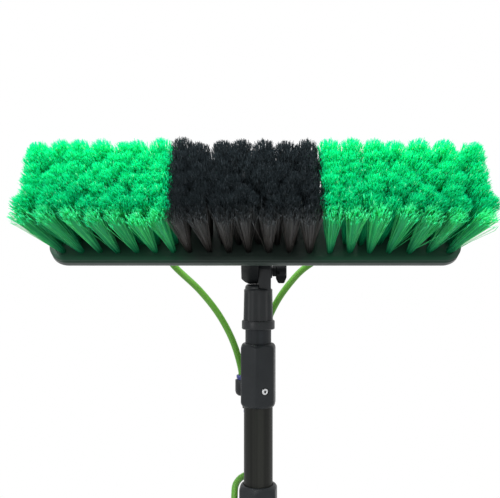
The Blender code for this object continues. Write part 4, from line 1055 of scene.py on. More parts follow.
def wing_nut():
    hub = [(HUB_R * wide, HUB_X + dx) for wide, dx in HUB_PROFILE]
    half = [(WING_X + dx, share * WING_REACH) for dx, share in WING_OUTLINE]
    wing = fillet(half + [(x, -z) for x, z in reversed(half)], WING_CORNER_R, 5)
    blade = slab(wing, -WING_T / 2, WING_T / 2, WING_EDGE, lambda x, z, y: (x, y, PIVOT_Z + z))
    barrel = shifted(along_x(hub), 0, 0, PIVOT_Z)
    made = piece("tilt_wing_nut", [barrel, blade], M["bracket"], "nut", ["wing_nut"], "black_plastic", 36)
    corners = ((-1, -1), (1, -1), (1, 1), (-1, 1))
    window = [(WINDOW_X + u * WINDOW_HALF, WINDOW_Z + v * WINDOW_HALF) for u, v in corners]
    cut_out(made, loft([[(x, y, z) for x, z in window] for y in WINDOW_Y]), 36)


socket()
set_screw()
bracket()
pivot_bolt()
washer()
wing_nut()

# Brush block with its jets
BLOCK_LENGTH = 0.332
BLOCK_WIDTH = 0.066
BLOCK_SHIFT = -0.001
BLOCK_CORNER_R = 0.015
BLOCK_CORNER_LEAST = 0.004
BACK_INSET = 0.009
RIM_S = FACE_S - 0.0088
BLOCK_PROFILE = (
    (BACK_INSET + 0.0020, BACK_S),
    (BACK_INSET + 0.0006, BACK_S + 0.0002),
    (BACK_INSET - 0.0004, BACK_S + 0.0010),
    (BACK_INSET * 0.42, BACK_S + 0.0036),
    (BACK_INSET * 0.12, BACK_S + 0.0060),
    (0.0005, RIM_S + 0.0002),
    (0.0001, RIM_S + 0.0010),
    (0.0001, FACE_S - 0.0036),
    (0.0003, FACE_S - 0.0034),
    (0.0036, FACE_S - 0.0030),
    (0.0036, FACE_S - 0.0009),
    (0.0003, FACE_S - 0.0008),
    (0.0000, FACE_S - 0.0006),
    (0.0000, FACE_S - 0.0003),
    (0.0002, FACE_S - 0.0001),
    (0.0005, FACE_S),
    (0.0042, FACE_S),
    (0.0046, FACE_S - 0.0008),
    (0.0052, FACE_S - 0.0010),
)
RIB_X = 0.092
RIB_HALF = (0.052, 0.0016)
RIB_CORNER_R = 0.0012
RIB_EDGE = 0.0006
RIB_S = (BACK_S - 0.0016, BACK_S + 0.001)
JET_E = BLOCK_E + 0.01175
JET_X = {"left": BLOCK_X - 0.0858, "right": BLOCK_X + 0.0858}
JET_R = 0.0030
JET_HOLE_R = 0.0008
JET_SINK = 0.002
JET_TIP = FACE_S + 0.0070
JET_NOSE = ((1.0, 0.0030), (0.92, 0.0024), (0.66, 0.0003), (0.55, 0.0))
STEM_L = 0.0136
STEM_OUT = BACK_S - SEAT_GAP
STEM_MOUTH = STEM_OUT - STEM_L
STEM_FLANGE_T = 0.0034
STEM_FLANGE = STEM_OUT - STEM_FLANGE_T
STEM_BORE = HOSE_R + HOLE_GAP
STEM_NECK = (
    (STEM_BORE, 0.0003), (STEM_BORE + 0.0003, 0.0), (0.0050, 0.0), (0.0056, 0.0006),
    (0.0056, 0.0030), (0.0052, 0.0034), (0.0052, 0.0046), (0.0056, 0.0050),
)
STEM_FOOT = (
    (0.0056, STEM_FLANGE_T), (0.0066, STEM_FLANGE_T), (0.0068, STEM_FLANGE_T - 0.0003),
    (0.0068, 0.0003), (0.0066, 0.0), (STEM_BORE, 0.0),
)


def brush_block():
    rings = []
    for by, s in BLOCK_PROFILE:
        corner = max(BLOCK_CORNER_R - by, BLOCK_CORNER_LEAST)
        around = rounded_box(BLOCK_LENGTH / 2 - by, BLOCK_WIDTH / 2 - by, corner, 14)
        rings.append([head(x + BLOCK_X + BLOCK_SHIFT, e + BLOCK_E, s) for x, e in around])
    shapes = [loft(rings)]
    for side in (-1, 1):
        x0 = BLOCK_X + side * RIB_X
        box = [(x + x0, e + BLOCK_E) for x, e in rounded_box(*RIB_HALF, RIB_CORNER_R, 3)]
        shapes.append(slab(box, *RIB_S, RIB_EDGE, head, 2))
    piece("brush_stock", shapes, M["block"], "brush_head", ["brush_block"], "gloss_plastic", 40)


def jets():
    stem = [(STEM_BORE, STEM_FLANGE)] + [(r, STEM_MOUTH + ds) for r, ds in STEM_NECK]
    stem += [(r, STEM_OUT - ds) for r, ds in STEM_FOOT]
    nozzle = [(JET_HOLE_R, FACE_S - JET_SINK), (JET_R, FACE_S - JET_SINK)]
    nozzle += [(JET_R * wide, JET_TIP - by) for wide, by in JET_NOSE] + [(JET_HOLE_R, JET_TIP)]
    for side, x in JET_X.items():
        shape = in_head(shifted(turned(stem, 32, True), x, JET_E))
        piece("stem_" + side, [shape], M["nozzle"], "brush_head", ["jet_stem_" + side], "nozzle_plastic", 40)
        shape = in_head(shifted(turned(nozzle, 32, True), x, JET_E))
        piece("spray_tip_" + side, [shape], M["brass"], "brush_head", ["jet_nozzle_" + side], "brass", 40)


brush_block()
jets()

# Bristles: tufts of fine filaments that fan out of the face, with split ends
BRISTLE_L = 0.069
BRISTLE_L_VARIES = 0.009
BRISTLE_HALF = BLOCK_LENGTH / 2 - 0.009
ROWS = 7
BANK_COLUMNS = 7
ROW_PITCH = 0.0470 / (ROWS - 1)
ODD_ROW_WIDER = 0.2
BANK_X = (-0.1128, -0.0078, 0.1045)
BANK_PITCH = (0.0147, 0.0161, 0.0158)
BANK_SKEW = (-0.0020, 0.0, 0.0010)
# Share of split ends drawn bright as painted glints, by bank.
BANK_GLINT = (0.02, 0.07, 0.02)
BANK_LOOK = ("green_bristle", "black_bristle", "green_bristle")
JET_CLEAR = 0.0050
ROW_SPREAD = (0.0080, 0.0086, 0.0092, 0.0098, 0.0106, 0.0106, 0.0094)
ROW_LEAN = (1.0, 0.84, 0.74, 0.66, 0.62, 0.60, 0.58)
END_LEAN = {"left": math.radians(16.0), "right": math.radians(12.5)}
SIDE_LEAN = math.radians(6.0)
LEAN_POWER = 3.0
LEAN_VARIES = 0.018
MIDDLE_LEAN = math.radians(3.6)
TUFT_ROOT_R = 0.0022
TUFT_SINK = 0.0015
TUFT_STRAYS = {"front": 0.0003, "inner": 0.0009}
TUFT_STRAYS_E = 0.0003
SPREAD_VARIES = (0.92, 1.08)
STRANDS = {"front": (125, 3, (0.0, 0.5, 1.0)), "inner": (225, 2, (0.0, 1.0))}
STRAND_R = {"front": 0.00020, "inner": 0.00023}
STRAND_THIN = 0.92
STRAND_CROWD = 0.60
STRAND_BOW = {"front": 0.0010, "inner": 0.0}
TIP_STRAYS = 0.0004
TIP_DROPS = 0.006
LOOSE_FROM = 0.985
LOOSE_OFF = 0.007
# Share of each strand's colour that takes the pale painted sheen, by kind of tuft.
PAINTED_SHEEN_BY_KIND = {"front": (0.60, 0.22), "inner": (0.07, 0.08)}
PAINTED_SHEEN_MOST = 0.9
# Strand tones: lighter on back rows and on the back of each mound as painted light, darker in the valleys as painted
# shade, plus random tone; the front row takes one tone, without the painted mound light and shade.
FRONT_TONE = 0.66
INNER_TONE = 0.50
ROW_PAINTED_LIGHT = 0.06
VALLEY_PAINTED_SHADE = -0.02
BACK_PAINTED_LIGHT = 0.06
STRAND_TONE_VARIES = 0.05
TUFT_TONE_VARIES = 0.04
MOUND_R = 0.0078
MOUND_DROP = 0.06
MOUND_FALL_MOST = 1.6
SPLIT_AT = 0.92
SPLIT_ENDS = 2
SPLIT_R = (0.00025, 0.00014)
SPLIT_TURN = 0.15
SPLIT_REACH = (0.82, 1.02)
SPLIT_PAINTED_SHEEN = 0.5
CORE_SIDES = 8
CORE_RINGS = ((0.0, 0.22), (0.80, 0.66), (0.87, 0.36))
# Tuft cores take a darker tone: painted shade of a tuft's deep middle.
CORE_PAINTED_SHADE = 0.42
CORE_PAINTED_SHEEN = {"front": 0.42, "inner": 0.0}


def strands(roots, ways, lengths, bows, reach, radii, cuts, sides):
    """Tapered strands, three sided or flat: corners, faces and how far along each corner lies."""
    n = len(roots)
    helper = np.where(np.abs(ways[:, 2:3]) < 0.9, [[0.0, 0.0, 1.0]], [[1.0, 0.0, 0.0]])
    u = np.cross(ways, helper)
    u /= np.linalg.norm(u, axis=1)[:, None]
    v = np.cross(ways, u)
    spin = rng.uniform(0, 2 * math.pi, n)
    rings, along = [], []
    for t in cuts:
        mid = roots + ways * (lengths * t)[:, None] + bows * (t * t)
        r = radii[0] + (radii[1] - radii[0]) * t
        corner = []
        for k in range(sides):
            a = spin + 2 * math.pi * k / sides
            corner.append(mid + r * (np.cos(a)[:, None] * u + np.sin(a)[:, None] * v))
        rings.append(np.stack(corner, axis=1))
        along.append(np.full((n, sides), reach[0] + (reach[1] - reach[0]) * t))
    verts = np.stack(rings, axis=1)
    base = (np.arange(n) * len(cuts) * sides)[:, None, None]
    faces = []
    for k in range(len(cuts) - 1):
        low, high = k * sides, (k + 1) * sides
        for i in range(sides if sides > 2 else 1):
            j = (i + 1) % sides
            faces.append((low + i, low + j, high + j, high + i))
    quads = (base + np.array(faces)[None]).reshape(-1, 4)
    return verts.reshape(-1, 3), quads, np.stack(along, axis=1).reshape(-1)


def core(at, way, reach, spread):
    """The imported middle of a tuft, up to its dome: corners, faces and how far along each corner lies."""
    disc = np.array(circle(1.0, 0.0, CORE_SIDES))
    verts = [at + way * reach * share + disc * spread * wide for share, wide in CORE_RINGS]
    along = [np.full(CORE_SIDES, share) for share, _ in CORE_RINGS]
    faces = []
    for k in range(len(CORE_RINGS) - 1):
        low, high = k * CORE_SIDES, (k + 1) * CORE_SIDES
        for i in range(CORE_SIDES):
            j = (i + 1) % CORE_SIDES
            faces.append((low + i, low + j, high + j, high + i))
    top = (len(CORE_RINGS) - 1) * CORE_SIDES
    faces += [(top, top + 2 * k + 1, top + 2 * k + 2, top + 2 * k + 3) for k in range(CORE_SIDES // 2 - 1)]
    return np.concatenate(verts), np.array(faces), np.concatenate(along)


def tuft_places(bank):
    """Places of one bank's tufts: every other row has one tuft more, and the tufts by a jet stand aside."""
    for row in range(ROWS):
        e = BLOCK_E + (row - (ROWS - 1) / 2) * ROW_PITCH
        odd = row % 2
        span = (BANK_COLUMNS - 1 + ODD_ROW_WIDER * odd) * BANK_PITCH[bank]
        for share in np.linspace(-0.5, 0.5, BANK_COLUMNS + odd):
            x = BANK_X[bank] + share * span + BANK_SKEW[bank] * row / (ROWS - 1)
            for jet in JET_X.values():
                if math.hypot(x - jet, e - JET_E) < JET_CLEAR:
                    x = jet + math.copysign(math.sqrt(JET_CLEAR**2 - (e - JET_E) ** 2), x - jet)
            yield x, e, row


def kind_of(row):
    return "front" if row == 0 else "inner"


def leaning_tufts(bank):
    """Each tuft's foot, direction, length and row: they fan out towards the ends and the sides."""
    tufts = []
    for x, e, row in tuft_places(bank):
        u = max(-1.0, min(1.0, (x - BLOCK_X) / BRISTLE_HALF))
        lean = END_LEAN["right" if u > 0 else "left"] * ROW_LEAN[row]
        along = math.copysign(abs(u) ** LEAN_POWER, u) * lean - MIDDLE_LEAN * (1 - u * u)
        along += rng.normal(0, LEAN_VARIES)
        across = (row / (ROWS - 1) * 2 - 1) * SIDE_LEAN + rng.normal(0, LEAN_VARIES)
        way = np.array([math.tan(along), math.tan(across), 1.0])
        way /= np.linalg.norm(way)
        reach = BRISTLE_L * rng.normal(1.0, BRISTLE_L_VARIES)
        x += rng.normal(0, TUFT_STRAYS[kind_of(row)])
        tufts.append((np.array([x, e + rng.normal(0, TUFT_STRAYS_E), FACE_S]), way, reach, row))
    return tufts


def tuft_strands(tuft, spread, centres):
    """Roots, tips, painted sheen and tones of a tuft's strands: the tips lie on mounds about the nearest tuft, and the
    tones hold painted light and shade of those mounds.
    """
    at, way, reach, row = tuft
    kind = kind_of(row)
    count = STRANDS[kind][0]
    a = rng.uniform(0, 2 * math.pi, count)
    r = rng.uniform(0, 1, count) ** STRAND_CROWD
    disc = np.stack([r * np.cos(a), r * np.sin(a), np.zeros(count)], axis=1)
    root = at - np.array([0, 0, TUFT_SINK]) + disc * TUFT_ROOT_R
    tip = at + way * reach + disc * spread + rng.normal(0, TIP_STRAYS, (count, 3))
    apart = tip[:, None, :2] - centres[None]
    near = np.linalg.norm(apart, axis=2).argmin(axis=1)
    off = apart[np.arange(count), near] / MOUND_R
    fall = np.minimum((off**2).sum(axis=1), MOUND_FALL_MOST)
    tip -= way * (reach * (MOUND_DROP * fall + rng.normal(0, TIP_DROPS, count)))[:, None]
    # Painted light and shade: lighter on back rows and on the back of each mound, darker in the valleys between
    # mounds.
    tone = INNER_TONE + ROW_PAINTED_LIGHT * row + VALLEY_PAINTED_SHADE * fall + BACK_PAINTED_LIGHT * off[:, 1]
    if kind == "front":
        loose = rng.uniform(0, 1, count) > LOOSE_FROM
        tip[loose] += rng.normal(0, LOOSE_OFF, 3)
        tone = FRONT_TONE
    painted_sheen = np.clip(rng.normal(*PAINTED_SHEEN_BY_KIND[kind], count), 0, PAINTED_SHEEN_MOST)
    tone = tone + rng.normal(0, STRAND_TONE_VARIES, count) + rng.normal(0, TUFT_TONE_VARIES)
    return root, tip, painted_sheen, tone


class Field:
    """Corners, faces and corner values of a bank, gathered part by part."""

    def __init__(self):
        self.count = 0
        self.verts, self.quads = [], []
        self.values = {"along": [], "painted_sheen": [], "shade": []}

    def add(self, part, painted_sheen, tone):
        verts, quads, along = part
        self.verts.append(verts)
        self.quads.append(quads + self.count)
        self.count += len(verts)
        self.values["along"].append(along)
        self.values["painted_sheen"].append(np.repeat(painted_sheen, len(verts) // len(painted_sheen)))
        self.values["shade"].append(np.repeat(tone, len(verts) // len(tone)))

    def mesh(self, name):
        made = bpy.data.meshes.new(name)
        corners = np.stack(head(*np.concatenate(self.verts).T), axis=1)
        made.from_pydata(corners.tolist(), [], np.concatenate(self.quads).tolist())
        made.shade_smooth()
        for key, values in self.values.items():
            layer = made.attributes.new(key, "FLOAT", "POINT")
            layer.data.foreach_set("value", np.concatenate(values).astype(np.float32))
        return made


def split_strands(field, kind, tufts, glint):
    """Draw the strands of one kind, each with split ends, of which a few are painted glints and the rest take half the
    strand's painted sheen.
    """
    _, sides, cuts = STRANDS[kind]
    root, tip, painted_sheen, tone = (np.concatenate(parts) for parts in zip(*tufts))
    way = tip - root
    length = np.linalg.norm(way, axis=1)
    way /= length[:, None]
    bow = rng.normal(0, 1.0, root.shape) * STRAND_BOW[kind]
    radii = (STRAND_R[kind], STRAND_R[kind] * STRAND_THIN)
    field.add(strands(root, way, length * SPLIT_AT, bow, (0.0, SPLIT_AT), radii, cuts, sides), painted_sheen, tone)
    fork = root + way * (length * SPLIT_AT)[:, None] + bow
    straight = np.zeros_like(bow)
    for _ in range(SPLIT_ENDS):
        off = way + rng.normal(0, SPLIT_TURN, way.shape)
        off /= np.linalg.norm(off, axis=1)[:, None]
        end = length * (1 - SPLIT_AT) * rng.uniform(*SPLIT_REACH, len(way))
        painted_end_sheen = np.where(rng.uniform(0, 1, len(way)) < glint, 1.0, painted_sheen * SPLIT_PAINTED_SHEEN)
        field.add(strands(fork, off, end, straight, (SPLIT_AT, 1.0), SPLIT_R, (0.0, 1.0), 2), painted_end_sheen, tone)


def bristle_bank(bank, name, node, slot):
    tufts = leaning_tufts(bank)
    centres = np.array([at + way * reach for at, way, reach, _ in tufts])[:, :2]
    groups = {kind: [] for kind in STRANDS}
    field = Field()
    for tuft in tufts:
        at, way, reach, row = tuft
        kind = kind_of(row)
        spread = ROW_SPREAD[row] * rng.uniform(*SPREAD_VARIES)
        groups[kind].append(tuft_strands(tuft, spread, centres))
        # The core is drawn darker than the strands: painted shade of the tuft's deep middle.
        field.add(core(at, way, reach, spread), [CORE_PAINTED_SHEEN[kind]], [CORE_PAINTED_SHADE])
    for kind, parts in groups.items():
        split_strands(field, kind, parts, BANK_GLINT[bank])
    obj = add_object(name, field.mesh(name), M[BANK_LOOK[bank]])
    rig.ride(obj, "brush_head")
    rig.replaces(obj, node)
    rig.slot(obj, slot)


bristle_bank(0, "filaments_left", "bristles_left", "green_nylon")
bristle_bank(1, "filaments_centre", "bristles_centre", "black_nylon")
bristle_bank(2, "filaments_right", "bristles_right", "green_nylon")

# Water: fitting, collets, hoses, hank, strap and connector
FITTING_X = -0.0083
FITTING_Y = 0.0245
OUTLET_X = {"left": FITTING_X - 0.0065, "right": FITTING_X + 0.0065}
OUTLET_Z = 0.9005
OUTLET_L = 0.0155
OUTLET_LOW_Z = OUTLET_Z - OUTLET_L
OUTLET_FOOT_R = 0.0026
OUTLET_FOOT = ((2.2, 0.0), (0.9, 0.35), (0.25, 1.0), (0.0, 1.9))
OUTLET_EDGE_R = 0.0006
OUTLET_EDGE = ((0.0, 1.4), (0.35, 0.4), (1.2, 0.0))
FOOT_Z = 0.8740
FOOT_EDGE = ((0.0008, 0.0), (0.0002, 0.0003), (0.0, 0.0009))
BARREL_R = 0.0060
INLET_TOP = ((BARREL_R, 0.006), (0.002, 0.009))
BRIDGE_HALF = (0.0065, BARREL_R * 0.7)
BRIDGE_CORNER_R = 0.001
BRIDGE_EDGE = 0.0005
BRIDGE_IN = 0.0030
HOSE_IN = 0.0080
HOSE_FREE = 0.008
HOSE_HELD = 0.0099
HOSE_STRAIGHT = 0.0050
COLLET_R = 0.0049
COLLET_NECK_R = COLLET_R - 0.0007
COLLET_SINK = 0.0008
COLLET_SHOW = 0.0032
COLLET_PRESS = 0.0010
COLLET_RIM_EDGE = 0.0003
COLLET_EDGE = ((0.0, 0.0009), (0.0003, 0.0002), (0.0008, 0.0))
COLLET_EYE_EDGE = ((0.0003, 0.0), (0.0, 0.0004))
COLLET_WELL_R = COLLET_R - 0.0002
COLLET_WELL = 0.0024
BRANCH_SPACING = 0.0025
BRANCH_END = 5
BRANCH_STRAIGHT_S = {"left": 0.0040, "right": 0.0160}
BRANCH_CLIMB = {
    "left": (
        (0.0164, 0.0, 0.0120), (0.0822, 0.0, 0.0290), (0.1767, 0.0, 0.0450),
        (0.3178, 0.0, 0.0623), (0.5329, 0.0, 0.0816), (0.8616, 0.0, 0.1046),
    ),
    "right": (
        (0.0093, 0.0, 0.0150), (0.0561, 0.0, 0.0360), (0.1390, 0.0, 0.0562), (0.2313, 0.0, 0.0720),
        (0.3178, 0.0009, 0.0828), (0.4685, 0.0019, 0.0977), (0.5888, 0.0011, 0.1057),
        (0.7208, -0.0018, 0.1118), (0.8470, -0.0074, 0.1168), (0.9474, -0.0159, 0.1218),
    ),
}
RUN_SPACING = 0.0035
RUN_STRAIGHT = 0.0060
RUN_FALL = (
    (0.0020, 0.0024, 0.0152), (0.0051, 0.0065, 0.0245), (0.0077, 0.0106, 0.0340), (0.0082, 0.0127, 0.0444),
    (0.0052, 0.0113, 0.0545), (-0.0007, 0.0062, 0.0616), (-0.0079, -0.0013, 0.0638),
    (-0.0121, -0.0106, 0.0673), (-0.0128, -0.0186, 0.0743), (-0.0129, -0.0236, 0.0836),
    (-0.0130, -0.0259, 0.0940),
)
RUN_END = (0.0004, 0.0, 0.012)
HANK_X = -0.0220
HANK_Y = 0.0300
HANK_TOP_Z = 0.7500
HANK_RUN = 0.0960
HANK_LOW_Z = HANK_TOP_Z - HANK_RUN
HANK_INNER_R = 0.0180
HANK_LAYERS = 4
HANK_LOOPS = 2
HANK_STEP = 0.0070
HANK_WAIST = 0.0040
HANK_RUN_STEPS = 12
HANK_FOLD_STEPS = 14
QUARTER = 0.25
TAIL_L = 0.0620
TAIL_START = 0.006
TAIL_STEPS = 11
PLUG_BORE_R = 0.0022
PLUG_BORE_DEEP = 0.004
PLUG_NIPPLE_L = 0.0180
PLUG_NIPPLE = (
    (0.0048, 0.0), (0.0056, 0.0004), (0.0060, 0.0014), (0.0060, 0.0061), (0.0057, 0.0066),
    (0.0047, 0.0079), (0.0047, 0.0112), (0.0057, 0.0125), (0.0060, 0.0130), (0.0060, PLUG_NIPPLE_L),
)
PLUG_BODY_L = 0.0260
PLUG_BODY = (
    (0.0082, 0.0), (0.0090, 0.0008), (0.0090, 0.0090), (0.0084, 0.0100), (0.0084, 0.0120), (0.0090, 0.0130),
    (0.0090, PLUG_BODY_L - 0.0010), (0.0087, PLUG_BODY_L - 0.0003), (0.0080, PLUG_BODY_L),
)
NUT_L = 0.0140
NUT_OVER = 0.0100
NUT_RIBS = 12
NUT_SIDES = 96
NUT_RIB_DEPTH = 0.035
NUT_RIB_SQUARE = 1.8
NUT_BORE_R = HOSE_R + HOLE_GAP
NUT_LIP = ((NUT_BORE_R, 0.001), (NUT_BORE_R, 0.0), (0.0080, 0.0), (0.0087, 0.0004), (0.0098, 0.0026))
NUT_RIBBED = (
    (0.0109, NUT_L - 0.0032), (0.0110, NUT_L - 0.0040), (0.0110, 0.0012), (0.0106, 0.0004),
)
NUT_FOOT_R = 0.0097
STRAP_GAP = 0.0006
STRAP_EDGE = ((0.0, 0.0097), (0.0003, 0.0100), (0.0011, 0.0100), (0.0014, 0.0097))
STRAP_T = 0.0014
FLAP_HALF = (0.013, 0.0096)
FLAP_CORNER_R = 0.003
FLAP_DEPTH = (-0.0001, 0.0012)
FLAP_EDGE = 0.0004
FLAP_OFF = 0.008


def y_fitting():
    barrel = [(BARREL_R - by * OUTLET_FOOT_R, OUTLET_LOW_Z + up * OUTLET_FOOT_R) for by, up in OUTLET_FOOT]
    barrel += [(BARREL_R - by * OUTLET_EDGE_R, OUTLET_Z - down * OUTLET_EDGE_R) for by, down in OUTLET_EDGE]
    barrel += [(COLLET_WELL_R, OUTLET_Z), (COLLET_WELL_R, OUTLET_Z - COLLET_WELL)]
    inlet = [(COLLET_WELL_R, FOOT_Z + COLLET_WELL), (COLLET_WELL_R, FOOT_Z)]
    inlet += [(BARREL_R - by, FOOT_Z + up) for by, up in FOOT_EDGE]
    inlet += [(r, OUTLET_LOW_Z + up) for r, up in INLET_TOP]
    around = rounded_box(*BRIDGE_HALF, BRIDGE_CORNER_R, 3)
    bridge = [(x + FITTING_X, y + FITTING_Y) for x, y in around]
    shapes = [shifted(turned(barrel, 40), x, FITTING_Y) for x in OUTLET_X.values()]
    shapes.append(shifted(turned(inlet, 40), FITTING_X, FITTING_Y))
    low, high = OUTLET_LOW_Z + BRIDGE_IN, OUTLET_Z - BRIDGE_IN
    shapes.append(slab(bridge, low, high, BRIDGE_EDGE, lambda x, y, z: (x, y, z), 3))
    piece("branch_fitting", shapes, M["knuckle"], "top_section", ["y_fitting"], "black_plastic", 40)


def collet(tag, x, z, way):
    eye = HOSE_R + HOLE_GAP
    high = COLLET_PRESS + COLLET_SHOW
    rim = COLLET_PRESS + FIT_GAP
    ring = [(eye, -COLLET_SINK), (COLLET_NECK_R, -COLLET_SINK), (COLLET_NECK_R, rim), (COLLET_WELL_R, rim)]
    ring.append((COLLET_R, rim + COLLET_RIM_EDGE))
    ring += [(COLLET_R - by, high - down) for by, down in COLLET_EDGE]
    ring += [(eye + by, high - down) for by, down in COLLET_EYE_EDGE]
    shape = shifted(turned([(r, z + way * h) for r, h in ring], 40, True), x, FITTING_Y)
    piece("release_ring_" + tag, [shape], M["blue"], "release_" + tag, ["collet_" + tag], "blue_plastic", 50)


def branch_points(side):
    x0, jet_x = OUTLET_X[side], JET_X[side]
    route = [(x0, FITTING_Y, OUTLET_Z + dz) for dz in (-HOSE_IN, 0.0, HOSE_STRAIGHT)]
    for share, dy, dz in BRANCH_CLIMB[side]:
        route.append((x0 + share * (jet_x - x0), FITTING_Y + dy, OUTLET_Z + dz))
    s0 = BRANCH_STRAIGHT_S[side]
    for s in (s0, (s0 + STEM_MOUTH) / 2, STEM_MOUTH, STEM_MOUTH + HOSE_HELD):
        route.append(head(jet_x, JET_E, s))
    return route


def hank_state(turn):
    """Radius and layer of the hank after so many turns: it spirals in and out, layer by layer."""
    layer = min(int(turn / HANK_LOOPS), HANK_LAYERS - 1)
    done = turn - layer * HANK_LOOPS
    held = min(max(done - QUARTER, 0.0), HANK_LOOPS - 2 * QUARTER)
    share = held * HANK_LOOPS / (HANK_LOOPS - 2 * QUARTER)
    if layer % 2:
        share = HANK_LOOPS - share
    climb = 1.0 - done / QUARTER if layer > 0 and done < QUARTER else 0.0
    return HANK_INNER_R + HANK_LOOPS * HANK_STEP - share * HANK_STEP, layer - climb


def hank_run(turn, side, z):
    """A point on a straight run of the hank, which is drawn in at the waist."""
    radius, level = hank_state(turn)
    half = HANK_RUN / 2
    pull = HANK_WAIST * (0.5 + 0.5 * math.cos(math.pi * (z - HANK_TOP_Z + half) / half))
    return (HANK_X - level * HANK_STEP, HANK_Y + side * (radius - pull), z)


def hank_fold(turn, z, arc):
    """A point on a fold at an end of the hank."""
    radius, level = hank_state(turn)
    return (HANK_X - level * HANK_STEP, HANK_Y + radius * math.cos(arc), z + radius * math.sin(arc))


def hank_points():
    """Folded loops: each turn is a run down, a fold, a run up and a fold."""
    turns = HANK_LAYERS * HANK_LOOPS
    runs = np.linspace(0, 1, HANK_RUN_STEPS, endpoint=False)
    folds = np.linspace(0, 1, HANK_FOLD_STEPS, endpoint=False)
    points = []
    for loop in range(turns):
        first, second, third, fourth = (loop + QUARTER * k for k in range(4))
        points += [hank_run(first + QUARTER * f, -1, HANK_TOP_Z - HANK_RUN * f) for f in runs]
        points += [hank_fold(second + QUARTER * f, HANK_LOW_Z, math.pi + math.pi * f) for f in folds]
        points += [hank_run(third + QUARTER * f, 1, HANK_LOW_Z + HANK_RUN * f) for f in runs]
        points += [hank_fold(fourth + QUARTER * f, HANK_TOP_Z, math.pi * f) for f in folds]
    flare = QUARTER * HANK_STEP * HANK_LOOPS / (HANK_LOOPS - 2 * QUARTER)
    for f in np.linspace(0, 1, HANK_RUN_STEPS):
        x, y, z = hank_run(turns - SAME_POINT, -1, HANK_TOP_Z - HANK_RUN * f)
        points.append((x, y - flare * f, z))
    return points


def length_of(points):
    return float(np.linalg.norm(np.diff(np.array(points), axis=0), axis=1).sum())


def branch_hose(side):
    path = smooth_route(branch_points(side), BRANCH_SPACING)
    made = piece(
        "water_hose_" + side, [hose(path, HOSE_R, 24)], M["hose"], None,
        ["hose_" + side], "green_hose", 60, ride=False,
    )
    start = tuple(next(p for p in path if p[2] > COLLAR_TOP["middle"] + HOSE_FREE))
    end = tuple(path[-BRANCH_END])
    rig.blend(made, "top_section", "brush_head", start, end)
    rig.cord(
        made, tuple(path[0]), length_of(path), 2 * HOSE_R, "object",
        stiffness="medium", lay="loose", path=[tuple(p) for p in path],
    )


def supply_hose():
    hank = hank_points()
    first, last = hank[0], hank[-1]
    route = [(FITTING_X, FITTING_Y, FOOT_Z + dz) for dz in (HOSE_IN, 0.0, -RUN_STRAIGHT)]
    route += [(FITTING_X + dx, FITTING_Y + dy, FOOT_Z - dz) for dx, dy, dz in RUN_FALL]
    route += [tuple(a + b for a, b in zip(first, RUN_END)), first]
    run = [tuple(p) for p in smooth_route(route, RUN_SPACING)]
    tail = [(last[0], last[1], last[2] - dz) for dz in np.linspace(TAIL_START, TAIL_L, TAIL_STEPS)]
    path = run[:-1] + hank + tail
    made = piece(
        "supply_hose", [hose(path, HOSE_R, 14)], M["hose"], "top_section",
        ["hose_run", "hose_hank", "hose_tail"], "green_hose", 60,
    )
    return made, path


def inlet_plug(x, y, top):
    low = top - PLUG_BODY_L
    end = low - PLUG_NIPPLE_L
    body = [(PLUG_BORE_R, end + PLUG_BORE_DEEP), (PLUG_BORE_R, end)]
    body += [(r, end + up) for r, up in PLUG_NIPPLE] + [(r, low + up) for r, up in PLUG_BODY]
    body.append((PLUG_BORE_R, top))
    shape = shifted(turned(body, 48), x, y)
    return piece("inlet_plug", [shape], M["knuckle"], "top_section", ["hose_connector"], "black_plastic", 40)


def inlet_nut(x, y, low):
    top = low + NUT_L

    def ribbed(radius, z):
        ring = []
        for i in range(NUT_SIDES):
            a = 2 * math.pi * i / NUT_SIDES
            wave = max(-1.0, min(1.0, NUT_RIB_SQUARE * math.cos(NUT_RIBS * a)))
            r = radius * (1 - NUT_RIB_DEPTH + NUT_RIB_DEPTH * wave)
            ring.append((r * math.cos(a), r * math.sin(a), z))
        return ring

    rings = [circle(r, top - down, NUT_SIDES) for r, down in NUT_LIP]
    rings += [ribbed(r, low + up) for r, up in NUT_RIBBED]
    rings += [circle(r, low, NUT_SIDES) for r in (NUT_FOOT_R, NUT_BORE_R)]
    shape = shifted(loft(rings, closed=True), x, y)
    return piece("inlet_nut", [shape], M["grey"], "top_section", ["connector_nut"], "grey_plastic", 40)


def strap():
    mid = HANK_TOP_Z - HANK_RUN / 2
    wrap = HOSE_R + STRAP_GAP
    half_y = HANK_INNER_R + HANK_LOOPS * HANK_STEP - HANK_WAIST + wrap + HANK_STEP / 4
    half_x = (HANK_LAYERS - 1) * HANK_STEP / 2 + wrap
    mid_x = HANK_X - (HANK_LAYERS - 1) * HANK_STEP / 2
    rings = []
    for grow, dz in [(g, -d) for g, d in STRAP_EDGE] + list(reversed(STRAP_EDGE)):
        around = rounded_box(half_x + grow, half_y + grow, wrap + grow)
        rings.append([(x + mid_x, y + HANK_Y, mid + dz) for x, y in around])
    tab = rounded_box(*FLAP_HALF, FLAP_CORNER_R, 5)
    x0 = mid_x - half_x - STRAP_T
    flap = slab(tab, *FLAP_DEPTH, FLAP_EDGE, lambda y, z, d: (x0 - d, HANK_Y + FLAP_OFF + y, mid + z), 2)
    shapes = [loft(rings, closed=True), flap]
    piece("hank_strap", shapes, M["strap"], "top_section", ["hank_tie"], "strap", 50)


